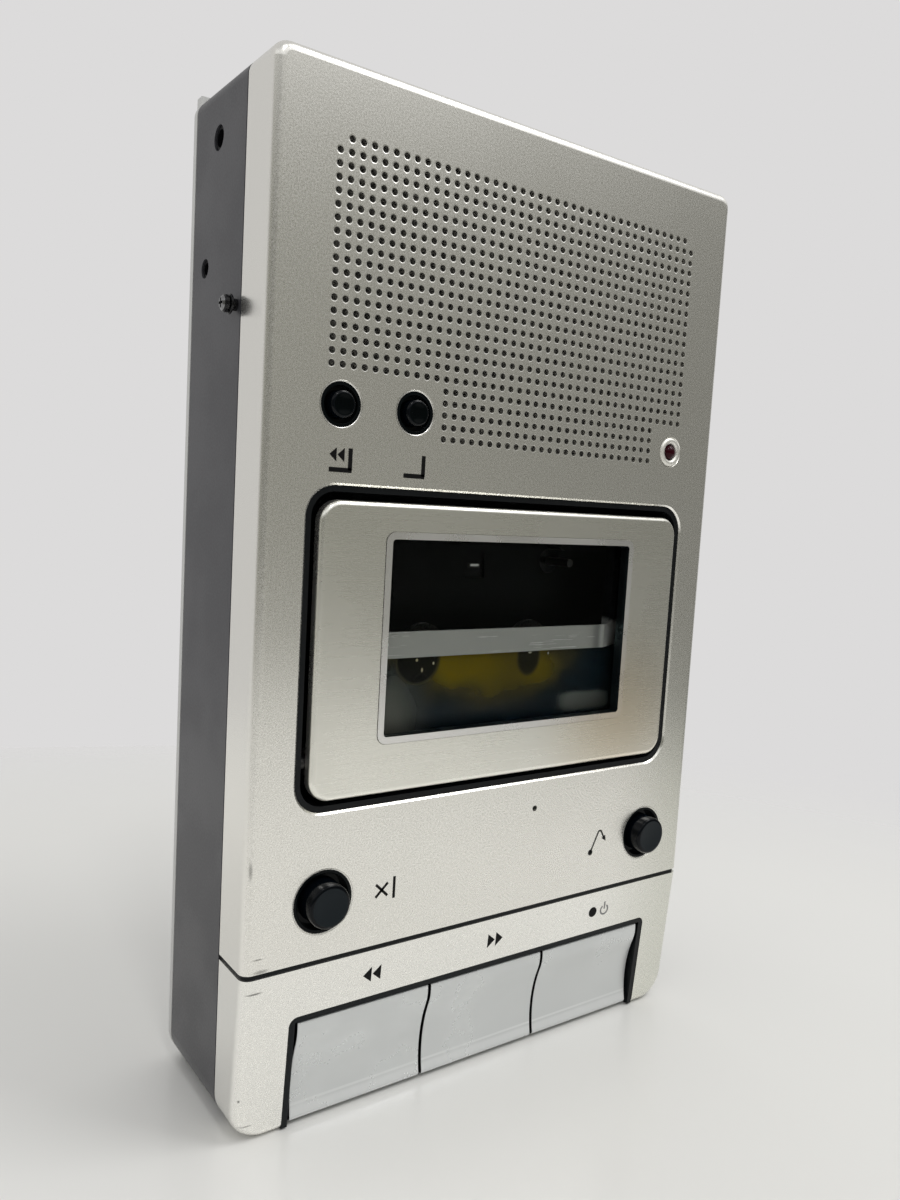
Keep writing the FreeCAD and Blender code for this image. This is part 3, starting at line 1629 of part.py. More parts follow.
def deck_cover():
    """Black cover of the deck behind the cassette, with the tape sensor's square recess."""
    cover = body("deck_cover")
    drawing = sketch(cover, "front", "deck_depth")
    across = f"({RIM_HALF} - fit_gap)"
    low = f"({RIM_LOW} + fit_gap)"
    high = f"({RIM_HIGH} - fit_gap)"
    rounded(drawing, f"-{across}", across, low, high, "aperture_corner - rim_reach")
    pad(cover, drawing, "deck_thick")
    holes = [
        *reel_holes("spindle_radius + 3 * fit_gap"),
        ("capstan_across", CAPSTAN_HEIGHT, "bearing_radius + fit_gap"),
        ("pinch_across", PINCH_HEIGHT, "pinch_pin + 3 * fit_gap"),
    ]
    drill(cover, "deck_depth", "deck_thick", holes)
    carriage_slots(cover, "deck_depth", "deck_thick")
    recess = sketch(cover, "front", "deck_depth")
    half = "(sensor_recess / 2)"
    rectangle(
        recess,
        f"-sensor_across - {half}",
        f"-sensor_across + {half}",
        f"{SENSOR_HEIGHT} - {half}",
        f"{SENSOR_HEIGHT} + {half}",
    )
    pocket(cover, recess, "deck_thick / 2")
    seat(cover)
    slab(
        "tape_sensor",
        "-sensor_across - sensor_width / 2",
        "-sensor_across + sensor_width / 2",
        f"{SENSOR_HEIGHT} - sensor_height / 2",
        f"{SENSOR_HEIGHT} + sensor_height / 2",
        "deck_depth + fit_gap",
        "deck_depth + deck_thick / 2",
    )


def chassis_plate():
    """Steel plate that carries the drive, with the pinch arm's pin riveted in it."""
    reach = "(chassis_margin + chassis_boss + fit_gap)"
    plate = slab(
        "chassis_plate",
        f"-{RIM_HALF} - chassis_margin",
        f"{RIM_HALF} + chassis_margin",
        f"{RIM_LOW} - {reach}",
        f"{RIM_HIGH} + {reach}",
        CHASSIS,
        CHASSIS_BACK,
    )
    holes = [
        *[(*spot, "screw_radius + fit_gap") for spot in chassis_spots()],
        *reel_holes("spindle_radius + running_gap"),
        ("capstan_across", CAPSTAN_HEIGHT, "bearing_radius + running_gap / 2"),
    ]
    drill(plate, CHASSIS, "chassis_thick", holes)
    carriage_slots(plate, CHASSIS, "chassis_thick")
    start = "(deck_depth - 3 * pinch_arm_thick)"
    columns(plate, start, f"{CHASSIS_BACK} - {start}", [("pinch_across", PINCH_HEIGHT, "pinch_pin")])
    turned(
        "capstan_bearing",
        ring("capstan_radius + running_gap", "bearing_radius", "deck_depth", "deck_depth + bearing_length"),
        "capstan_across",
        CAPSTAN_HEIGHT,
    )


def inner_screws():
    """The screws that hold the chassis to the cassette well and the main board to the back cover."""
    screws = body("inner_screws")
    start = f"({CHASSIS} - screw_bite / 2)"
    front = f"({BOARD_BACK} - board_thick)"
    for spots, shank, length, head in (
        (chassis_spots(), start, f"{CHASSIS_BACK} - {start}", CHASSIS_BACK),
        (stand_spots(), front, "board_thick + board_standoff - fit_gap", f"({front} - screw_head_depth)"),
    ):
        columns(screws, shank, length, [(*spot, "screw_radius") for spot in spots])
        columns(screws, head, "screw_head_depth", [(*spot, "screw_head_radius") for spot in spots])
    seat(screws)


def reel_spindle(name, across, pulley):
    """A reel spindle in one turned piece: splined tip, hub, friction disc and, on the right, a pulley."""
    hub_start = "(deck_depth - hub_thick - fit_gap)"
    profile = [
        ("0", f"{hub_start} - spline_reach"),
        ("spline_radius / 2", f"{hub_start} - spline_reach"),
        ("spindle_radius", f"{hub_start} - spline_reach / 2"),
        ("spindle_radius", hub_start),
        ("hub_radius", hub_start),
        ("hub_radius", f"{hub_start} + hub_thick"),
        ("spindle_radius", f"{hub_start} + hub_thick"),
        ("spindle_radius", CLUTCH_DEPTH),
        ("clutch_radius", CLUTCH_DEPTH),
        ("clutch_radius", f"{CLUTCH_DEPTH} + clutch_thick"),
    ]
    if pulley:
        wheel = grooved("spindle_radius", "reel_pulley_radius", REEL_PULLEY_DEPTH, "pulley_thick")
        profile += [("spindle_radius", f"{CLUTCH_DEPTH} + clutch_thick"), *wheel[:-1]]
    else:
        profile += [("spindle_radius", f"{CLUTCH_DEPTH} + clutch_thick")]
        profile += [("spindle_radius", f"{REEL_PULLEY_DEPTH} + pulley_thick")]
    spindle = turned(
        f"{name}_reel_spindle", [*profile, ("0", f"{REEL_PULLEY_DEPTH} + pulley_thick")], across, REEL_HEIGHT
    )
    for width, length in (("spline_radius", "spline_width / 2"), ("spline_width / 2", "spline_radius")):
        fins = sketch(spindle, "front", f"{hub_start} - spline_reach / 2")
        rectangle(fins, f"-{width}", width, f"-{length}", length)
        pad(spindle, fins, "spline_reach / 2 + hub_thick / 2")


def grooved(inner, radius, start, thick):
    """Give the profile of a pulley whose belt runs in a square groove, at the radius."""
    flank = f"({radius} + belt_groove)"
    low = f"({start} + {thick} / 2 - belt_size / 2 - belt_gap)"
    high = f"({start} + {thick} / 2 + belt_size / 2 + belt_gap)"
    return [
        (inner, start),
        (flank, start),
        (flank, low),
        (radius, low),
        (radius, high),
        (flank, high),
        (flank, f"{start} + {thick}"),
        (inner, f"{start} + {thick}"),
    ]


def groove_end(middle, side):
    """Give the depth where a belt's groove ends, before (-) or behind (+) the belt's middle."""
    return f"({middle} {side} belt_size / 2 {side} belt_gap)"


def flywheel():
    """Flywheel with the capstan and a small pulley for the take-up reel's belt, in one turned piece."""
    end = "(flywheel_depth + flywheel_thick)"
    flank = "(hub_pulley_radius + belt_groove)"
    rim = "(flywheel_radius + belt_groove)"
    turned(
        "flywheel",
        [
            ("0", "capstan_front"),
            ("capstan_radius", "capstan_front"),
            ("capstan_radius", f"{REEL_PULLEY_DEPTH} - fit_gap"),
            (flank, f"{REEL_PULLEY_DEPTH} - fit_gap"),
            (flank, groove_end(REEL_BELT_DEPTH, "-")),
            ("hub_pulley_radius", groove_end(REEL_BELT_DEPTH, "-")),
            ("hub_pulley_radius", groove_end(REEL_BELT_DEPTH, "+")),
            (flank, groove_end(REEL_BELT_DEPTH, "+")),
            (flank, "flywheel_depth"),
            (rim, "flywheel_depth"),
            (rim, groove_end(DRIVE_BELT_DEPTH, "-")),
            ("flywheel_radius", groove_end(DRIVE_BELT_DEPTH, "-")),
            ("flywheel_radius", groove_end(DRIVE_BELT_DEPTH, "+")),
            (rim, groove_end(DRIVE_BELT_DEPTH, "+")),
            (rim, end),
            ("0", end),
        ],
        "capstan_across",
        CAPSTAN_HEIGHT,
    )


def motor():
    """Motor on the chassis, and its pulley with the shaft that runs in the motor."""
    start = f"({CHASSIS_BACK} + fit_gap)"
    end = f"({start} + motor_length)"
    shaft_start = f"({end} - motor_length / 2)"
    turned(
        "motor",
        [
            ("0", start),
            ("motor_radius", start),
            ("motor_radius", end),
            ("motor_shaft + running_gap", end),
            ("motor_shaft + running_gap", shaft_start),
            ("0", shaft_start),
        ],
        "(-motor_across)",
        MOTOR_HEIGHT,
    )
    wheel_front = f"({DRIVE_BELT_DEPTH} - motor_pulley_thick / 2)"
    wheel = grooved("motor_shaft", "motor_pulley_radius", wheel_front, "motor_pulley_thick")
    turned(
        "motor_pulley",
        [
            ("0", f"{shaft_start} + fit_gap"),
            ("motor_shaft", f"{shaft_start} + fit_gap"),
            *wheel[:-1],
            ("0", f"{DRIVE_BELT_DEPTH} + motor_pulley_thick / 2"),
        ],
        "(-motor_across)",
        MOTOR_HEIGHT,
    )


def belts():
    """The drive belt from the motor to the flywheel, and the belt from the flywheel to the take-up reel."""
    capstan = ("capstan_across", CAPSTAN_HEIGHT)
    belt(
        "drive_belt",
        ("-motor_across", MOTOR_HEIGHT, "motor_pulley_radius"),
        (*capstan, "flywheel_radius"),
        DRIVE_BELT_DEPTH,
    )
    belt(
        "reel_belt",
        ("reel_across", REEL_HEIGHT, "reel_pulley_radius"),
        (*capstan, "hub_pulley_radius"),
        REEL_BELT_DEPTH,
    )


def belt_loop(first, second, grow, depth):
    """Give the closed wire round two circles of (centre, radius), both grown alike."""
    (start, small), (end, large) = first, second
    small += grow
    large += grow
    way = end - start
    lean = math.asin((small - large) / way.Length)
    along = way.normalize()
    square = Vector(-along.z, 0, along.x)
    spots = []
    for side in (1, -1):
        out = along * math.sin(lean) + square * math.cos(lean) * side
        spots.append((start + out * small, end + out * large))
    shift = Vector(0, depth, 0)
    (upper_start, upper_end), (lower_start, lower_end) = [(a + shift, b + shift) for a, b in spots]
    far = end + along * large + shift
    near_end = start - along * small + shift
    return Part.Wire(
        [
            Part.LineSegment(upper_start, upper_end).toShape(),
            Part.Arc(upper_end, far, lower_end).toShape(),
            Part.LineSegment(lower_end, lower_start).toShape(),
            Part.Arc(lower_start, near_end, upper_start).toShape(),
        ]
    )


def belt(label, first, second, middle):
    """Make a flat-sided rubber belt that runs round two pulleys of (across, height, radius)."""
    ends = []
    for across, height, radius in (first, second):
        ends.append((Vector(number(across), 0, number(height)), number(radius)))
    start = number(f"{middle} - belt_size / 2")
    inner = belt_loop(*ends, number("belt_gap"), start)
    outer = belt_loop(*ends, number("belt_gap + belt_size"), start)
    section = Part.Face([outer, inner], "Part::FaceMakerBullseye")
    loop = document.addObject("Part::Feature", label)
    loop.Shape = section.extrude(Vector(0, number("belt_size"), 0))
    NODES[label] = loop
    seat(loop)


def head_carriage():
    """Sliding head carriage: its tab takes the plunger and its pin presses the pinch arm's tail."""
    carriage = body("head_carriage")
    drawing = sketch(carriage, "front", CARRIAGE_DEPTH)
    rectangle(
        drawing, "-carriage_left", "carriage_right", CARRIAGE_LOW, f"{CARRIAGE_LOW} + carriage_height"
    )
    pad(carriage, drawing, "carriage_thick")
    reach = "(plunger_radius + carriage_thick)"
    tab = sketch(carriage, "front", CARRIAGE_DEPTH)
    rectangle(
        tab,
        f"-solenoid_across - {reach}",
        f"-solenoid_across + {reach}",
        CARRIAGE_LOW,
        f"{CARRIAGE_LOW} + 2 * carriage_thick",
    )
    pad(carriage, tab, f"{PLUNGER_DEPTH} + {reach} - {CARRIAGE_DEPTH}")
    start = f"({ARM_DEPTH} + 2 * fit_gap)"
    pin = (TAIL_ACROSS, PIN_HEIGHT, "carriage_pin")
    columns(carriage, start, f"{CARRIAGE_DEPTH} + carriage_thick - {start}", [pin])
    seat(carriage)


def tape_head():
    """Tape head with a stalk through the deck to the carriage."""
    head = body("tape_head")
    case = sketch(head, "front", "head_front")
    rectangle(case, "-head_width / 2", "head_width / 2", HEAD_LOW, f"{HEAD_LOW} + head_height")
    block = pad(head, case, f"{ARM_DEPTH} - head_front")
    rounding(
        head, block, "head_height / 4", lambda edge: along_depth(edge) and near(edge.CenterOfMass.z, HEAD_LOW)
    )
    stalk = sketch(head, "front", ARM_DEPTH)
    half = "(head_stalk / 2)"
    rectangle(stalk, f"-{half}", half, f"{HEAD_LOW} + 2 * fit_gap", f"{HEAD_LOW} + head_height - 2 * fit_gap")
    pad(head, stalk, f"{CARRIAGE_DEPTH} - {ARM_DEPTH}")
    seat(head)


def solenoid():
    """Solenoid that pulls the head carriage down, with its plunger and the carriage's return spring."""
    rod_start = f"({SOLENOID_TOP} - plunger_bore + carriage_travel + fit_gap)"
    plunger = body("solenoid_plunger")
    section = sketch(plunger, "top", rod_start)
    circle(section, "-solenoid_across", PLUNGER_DEPTH, "plunger_radius")
    pad(plunger, section, f"{CARRIAGE_LOW} - {rod_start}")
    seat(plunger)
    half = "(solenoid_width / 2)"
    case = slab(
        "solenoid",
        f"-solenoid_across - {half}",
        f"-solenoid_across + {half}",
        f"{SOLENOID_TOP} - solenoid_height",
        SOLENOID_TOP,
        "solenoid_front",
        "solenoid_front + solenoid_depth",
    )
    bore = sketch(case, "top", SOLENOID_TOP)
    circle(bore, "-solenoid_across", PLUNGER_DEPTH, "plunger_radius + running_gap")
    pocket(case, bore, "plunger_bore")
    spring = body("carriage_spring")
    wire = sketch(spring, "front")
    circle(wire, "plunger_radius + 3 * spring_wire", "0", "spring_wire")
    coil(spring, wire, f"{CARRIAGE_LOW} - {SOLENOID_TOP} - 4 * spring_wire", "3 * spring_turns")
    seat(spring, "-solenoid_across", f"{SOLENOID_TOP} + 2 * spring_wire", PLUNGER_DEPTH)


def pinch_arm():
    """Arm that swings the rubber pinch roller down to the capstan, with the roller on its axle."""
    arm = body("pinch_arm")
    spots = [("pinch_across", PINCH_HEIGHT, "pinch_hub")]
    columns(arm, ARM_DEPTH, "pinch_arm_thick", spots)
    tail = f"({PINCH_HEIGHT} - {TAIL_DROP})"
    columns(arm, ARM_DEPTH, "pinch_arm_thick", [(TAIL_ACROSS, tail, PINCH_HALF)])
    bridge = sketch(arm, "front", ARM_DEPTH)
    outline(
        bridge,
        [
            (TAIL_ACROSS, f"{tail} - {PINCH_HALF}"),
            ("pinch_across", f"{PINCH_HEIGHT} - {PINCH_HALF}"),
            ("pinch_across", f"{PINCH_HEIGHT} + {PINCH_HALF}"),
            (TAIL_ACROSS, f"{tail} + {PINCH_HALF}"),
        ],
    )
    pad(arm, bridge, "pinch_arm_thick")
    axle = ("capstan_across", ROLLER_HEIGHT, "roller_axle")
    columns(arm, "roller_front - fit_gap", f"{ARM_DEPTH} - roller_front + 2 * fit_gap", [axle])
    drill(arm, ARM_DEPTH, "pinch_arm_thick", [("pinch_across", PINCH_HEIGHT, "pinch_pin + running_gap")])
    seat(arm)
    turned(
        "pinch_roller",
        ring("roller_axle + running_gap", "roller_radius", "roller_front", "roller_front + roller_length"),
        "capstan_across",
        ROLLER_HEIGHT,
    )


def main_board():
    """Main circuit board on the back cover, with the capacitors and integrated circuits on its front."""
    front = f"({BOARD_BACK} - board_thick)"
    board = slab(
        "main_board",
        "-main_board_half",
        "main_board_half",
        "main_board_low",
        f"{HEIGHT} - main_board_drop",
        front,
        BOARD_BACK,
    )
    drill(board, front, "board_thick", [(*spot, "screw_radius + fit_gap") for spot in stand_spots()])
    components = body("board_components")
    step = "3 * capacitor_radius"
    cans = []
    for row in (-1, 1):
        for column in (-2, 0, 2):
            cans.append((f"{column} * {step}", f"{SPEAKER_HEIGHT} + {row} * {step}", "capacitor_radius"))
    columns(components, f"{front} - capacitor_length", "capacitor_length", cans)
    chips = sketch(components, "front", f"{front} - chip_thick")
    for place in (-1, 0, 1):
        middle = f"({place} * (chip_width + chip_height))"
        rectangle(
            chips,
            f"{middle} - chip_width / 2",
            f"{middle} + chip_width / 2",
            f"{LOW_BUTTON_HEIGHT} - chip_height / 2",
            f"{LOW_BUTTON_HEIGHT} + chip_height / 2",
        )
    pad(components, chips, "chip_thick")
    seat(components)


def switch_boards():
    """The two small boards that carry the push switches and the lamp, the lower one cleared for posts."""
    low = f"({APERTURE_HIGH} + high_board_rise)"
    boards = slab(
        "switch_boards",
        "-high_board_half",
        "high_board_half",
        low,
        f"{low} + high_board_height",
        "board_depth",
        "board_depth + board_thick",
    )
    lower = sketch(boards, "front", "board_depth")
    rectangle(
        lower, "-low_board_half", "low_board_half", "low_board_bottom", f"{LOW_BUTTON_HEIGHT} + switch_size"
    )
    pad(boards, lower, "board_thick")
    clear = "(post_radius + fit_gap)"
    spots = [(f"{side}{POST_ACROSS}", height, clear) for side in ("-", "") for height in POST_HEIGHTS[:2]]
    drill(boards, "board_depth", "board_thick", spots)


def side_sockets():
    """The two round sockets in the left side, each a square block with a nose in its hole."""
    sockets = body("side_sockets")
    half = "(socket_size / 2)"
    blocks = sketch(sockets, "side", SOCKET_FACE)
    for name in ("high", "low"):
        middle = f"({HEIGHT} - {name}_socket_drop)"
        rectangle(
            blocks,
            f"{name}_socket_depth - {half}",
            f"{name}_socket_depth + {half}",
            f"{middle} - {half}",
            f"{middle} + {half}",
        )
    pad(sockets, blocks, "socket_length")
    start = f"(-{HALF_WIDTH} + socket_recess)"
    noses = sketch(sockets, "side", start)
    bores = sketch(sockets, "side", start)
    for name in ("high", "low"):
        middle = f"({HEIGHT} - {name}_socket_drop)"
        circle(noses, f"{name}_socket_depth", middle, f"{name}_socket_hole - fit_gap")
        circle(bores, f"{name}_socket_depth", middle, f"{name}_socket_bore")
    pad(sockets, noses, f"{SOCKET_FACE} - {start} + fit_gap")
    pocket(sockets, bores, f"{SOCKET_FACE} - {start} + socket_length - socket_size / 4", back=True)
    seat(sockets)


def check():
    """Stop if any feature failed or any sub-part is empty or broken."""
    document.recompute()
    for thing in document.Objects:
        if "Invalid" in thing.State or "Error" in thing.State:
            raise RuntimeError(f"{thing.Label} failed: {thing.State}")
    for label, thing in NODES.items():
        if thing.Shape.isNull() or not thing.Shape.isValid() or not thing.Shape.Solids:
            raise RuntimeError(f"{label} has no valid solid")


def main():
    """Build every sub-part and write it to its own file."""
    speaker_holes(front_shell())
    lower_bezel()
    divider_strip()
    middle_case()
    back_cover()
    case_screws()
    rear_feet()
    side_screw()
    speaker()
    lamp()
    microphone()
    for button in BUTTONS:
        button_cap(button)
    button_collars()
    push_switches()
    key_well()
    for name, place in KEYS:
        key(name, place)
    key_axle()
    cassette_door()
    window_trim()
    door_window()
    hinge_pins()
    cassette_carrier()
    cassette_holder()
    cassette_well()
    deck_cover()
    chassis_plate()
    inner_screws()
    reel_spindle("left", "(-reel_across)", pulley=False)
    reel_spindle("right", "reel_across", pulley=True)
    flywheel()
    motor()
    belts()
    head_carriage()
    tape_head()
    solenoid()
    pinch_arm()
    main_board()
    switch_boards()
    side_sockets()
    check()
    os.makedirs("parts", exist_ok=True)
    for label, thing in NODES.items():
        thing.Label = label
        thing.Shape.exportStep(f"parts/{label}.step")
        print(label, round(thing.Shape.Volume, 1))


main()
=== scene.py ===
"""Looks of a slim upright desk dictation machine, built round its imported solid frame.

Lengths are in metres, or in millimetres where a docstring says so. +X is the viewer's right, the front
faces -Y and +Z is up. The origin lies on the base, in the middle of the width and of the case's depth.
"""

from __future__ import annotations

import json
import logging
import math
from dataclasses import dataclass
from enum import Enum
from typing import Callable, Iterable, Sequence

import bmesh
import bpy
from mathutils import Matrix, Vector

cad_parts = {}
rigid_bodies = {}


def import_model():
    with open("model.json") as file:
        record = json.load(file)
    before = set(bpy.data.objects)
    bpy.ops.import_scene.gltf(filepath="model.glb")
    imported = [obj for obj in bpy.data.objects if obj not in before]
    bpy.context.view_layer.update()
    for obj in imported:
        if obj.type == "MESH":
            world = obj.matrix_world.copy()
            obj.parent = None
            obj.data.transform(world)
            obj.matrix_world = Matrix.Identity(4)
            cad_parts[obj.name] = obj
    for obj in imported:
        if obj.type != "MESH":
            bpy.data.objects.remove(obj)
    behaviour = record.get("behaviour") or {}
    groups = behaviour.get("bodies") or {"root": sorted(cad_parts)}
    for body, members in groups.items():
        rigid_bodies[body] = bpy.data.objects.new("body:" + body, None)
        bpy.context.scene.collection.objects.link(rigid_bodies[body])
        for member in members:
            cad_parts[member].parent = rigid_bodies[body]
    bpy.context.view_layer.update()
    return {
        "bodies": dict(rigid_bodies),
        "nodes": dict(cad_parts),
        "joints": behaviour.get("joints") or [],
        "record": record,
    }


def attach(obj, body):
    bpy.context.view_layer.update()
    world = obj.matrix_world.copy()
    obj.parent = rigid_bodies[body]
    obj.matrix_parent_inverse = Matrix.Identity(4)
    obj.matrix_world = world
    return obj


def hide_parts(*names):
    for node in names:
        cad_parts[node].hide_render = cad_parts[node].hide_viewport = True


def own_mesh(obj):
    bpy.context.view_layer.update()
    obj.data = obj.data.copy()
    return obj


LOG = logging.getLogger("dictation_machine")

MM = 0.001
FRONT_PLANE = -21.25 * MM
SAME_SPOT = 1e-7
SOFT_STEPS = 3

Colour = tuple[float, float, float]
Place = tuple[float, float, float]
Point = tuple[float, float]


class Body(Enum):
    """The moving and fixed bodies that pieces ride on."""

    CASING = "casing"
    UPPER_LEFT_CAP = "upper_left_cap"
    UPPER_RIGHT_CAP = "upper_right_cap"
    LOWER_LEFT_CAP = "lower_left_cap"
    LOWER_RIGHT_CAP = "lower_right_cap"


class Slot(Enum):
    """Names of the record's material slots; nothing in this script gives them to the new pieces."""

    SILVER = "silver_shell"
    BLACK = "black_plastic"
    BLACK_STEEL = "black_steel"
    RUBBER = "rubber"
    CLOTH = "cloth"
    STEEL = "steel"


class Graph:
    """A short way to build one node tree."""

    colour_inputs: tuple[int, int, int] = (0, 6, 7)
    colour_output: int = 2

    def __init__(self, tree: bpy.types.NodeTree) -> None:
        """Start on a tree and empty it."""
        self.tree = tree
        tree.nodes.clear()

    def node(self, kind: str, **settings: object) -> bpy.types.Node:
        """Add a node.

        Args:
            kind: Short type name, without the leading ShaderNode.
            **settings: Properties of the node.

        Returns:
            The new node.
        """
        new = self.tree.nodes.new(kind if kind.startswith("NodeGroup") else f"ShaderNode{kind}")
        for name, value in settings.items():
            setattr(new, name, value)
        return new

    def feed(self, socket: bpy.types.NodeSocket, value: object) -> None:
        """Link a socket to another one, or set its value.

        Args:
            socket: The input to feed.
            value: An output socket, a number, a colour or a vector.
        """
        if isinstance(value, bpy.types.NodeSocket):
            self.tree.links.new(value, socket)
        elif isinstance(value, tuple) and len(socket.default_value) == len(value) + 1:
            socket.default_value = (*value, 1.0)
        else:
            socket.default_value = value

    def fill(self, node: bpy.types.Node, values: dict[str, object]) -> None:
        """Feed several inputs of a node, each by its name."""
        for name, value in values.items():
            self.feed(node.inputs[name], value)

    def math(self, operation: str, first: object, second: object = 0.0) -> bpy.types.NodeSocket:
        """Combine two values with a Math node.

        Args:
            operation: The node's operation.
            first: A number or a socket.
            second: A number or a socket.

        Returns:
            The result.
        """
        new = self.node("Math", operation=operation)
        self.feed(new.inputs[0], first)
        self.feed(new.inputs[1], second)
        return new.outputs[0]

    def sum(self, values: Iterable[object], shares: Iterable[float]) -> bpy.types.NodeSocket:
        """Add up two values, each times its share."""
        return self.math("ADD", *(self.math("MULTIPLY", *pair) for pair in zip(values, shares)))

    def blend(self, factor: object, first: object, second: object) -> bpy.types.NodeSocket:
        """Mix two colours.

        Args:
            factor: Share of the second colour.
            first: A colour or a socket.
            second: A colour or a socket.

        Returns:
            The mixed colour.
        """
        new = self.node("Mix", data_type="RGBA")
        for index, value in zip(self.colour_inputs, (factor, first, second)):
            self.feed(new.inputs[index], value)
        return new.outputs[self.colour_output]

    def step(
        self, value: object, start: float, end: float, low: float = 0.0, high: float = 1.0
    ) -> bpy.types.NodeSocket:
        """Lead a value smoothly from low to high between a start and an end.

        Args:
            value: The value to read.
            start: Where the result leaves low.
            end: Where the result reaches high.
            low: Result before the start.
            high: Result after the end.

        Returns:
            The result.
        """
        new = self.node("MapRange", interpolation_type="SMOOTHSTEP")
        for socket, setting in zip(new.inputs, (value, start, end, low, high)):
            self.feed(socket, setting)
        return new.outputs[0]

    def noise(
        self, place: bpy.types.NodeSocket, grain: float, detail: float, stretch: Place = (1.0, 1.0, 1.0)
    ) -> bpy.types.NodeSocket:
        """Add a noise pattern.

        Args:
            place: Where it is read.
            grain: Size of its features.
            detail: Number of finer layers.
            stretch: How much longer the features are along each axis.

        Returns:
            A value around one half.
        """
        mapping = self.node("Mapping", vector_type="POINT")
        self.fill(mapping, {"Vector": place, "Scale": tuple(1 / (grain * part) for part in stretch)})
        new = self.node("TexNoise")
        self.fill(new, {"Vector": mapping.outputs[0], "Scale": 1.0, "Detail": detail})
        return new.outputs["Fac"]

    def object_place(self) -> bpy.types.NodeSocket:
        """Give the coordinates of the object."""
        return self.node("TexCoord").outputs["Object"]

    def apart(self, vector: bpy.types.NodeSocket) -> tuple[bpy.types.NodeSocket, ...]:
        """Take a vector apart.

        Args:
            vector: The vector.

        Returns:
            Its X, Y and Z.
        """
        new = self.node("SeparateXYZ")
        self.feed(new.inputs[0], vector)
        return tuple(new.outputs)

    def facing(self, axis: int) -> bpy.types.NodeSocket:
        """Give how squarely the surface faces along an axis (0 for X, 1 for Y), from 0 to 1."""
        return self.math("ABSOLUTE", self.apart(self.node("TexCoord").outputs["Normal"])[axis])

    def raised(self, height: object, depth: float, under: object = None) -> bpy.types.NodeSocket:
        """Turn a height pattern into a normal.

        Args:
            height: Pattern from 0 to 1.
            depth: Its real depth.
            under: The normal that it is laid over, if there is one.

        Returns:
            The bumped normal.
        """
        new = self.node("Bump")
        self.fill(new, {"Strength": 1.0, "Distance": depth, "Height": height})
        if under:
            self.feed(new.inputs["Normal"], under)
        return new.outputs[0]


@dataclass(frozen=True)
class Cloud:
    """Soft areas where a noise is high; their size is in millimetres."""

    size: float
    start: float
    end: float
    stretch: Place = (1.0, 1.0, 1.0)
    detail: float = 1.0

    def mask(self, graph: Graph, place: bpy.types.NodeSocket) -> bpy.types.NodeSocket:
        """Give the mask of the areas, from 0 to 1."""
        noise = graph.noise(place, self.size * MM, self.detail, self.stretch)
        return graph.step(noise, self.start, self.end)


UPRIGHT_LINES = Cloud(0.16, 0.74, 0.8, (1.0, 1.0, 24.0))
LEVEL_LINES = Cloud(0.18, 0.75, 0.81, (20.0, 1.0, 1.0))
WORN_AREAS = Cloud(19.0, 0.55, 0.68, detail=2.0)
SPECKS = Cloud(0.8, 0.775, 0.81)
TONES = Cloud(18.0, 0.35, 0.65, detail=3.0)


@dataclass(frozen=True)
class SpeakerField:
    """Where the speaker holes are, measured from their lowest row."""

    low: float = 148.0 * MM
    pitch: float = 2.5 * MM
    height: float = 55.0 * MM
    half_width: float = 51.25 * MM
    hole_radius: float = 0.69 * MM
    rim_radius: float = 0.9 * MM
    rim_depth: float = 0.033 * MM
    steps: tuple[tuple[float, float, float], ...] = (
        (-1.0, -23.75 * MM, 11.25 * MM),
        (1.0, 41.25 * MM, 8.75 * MM),
    )


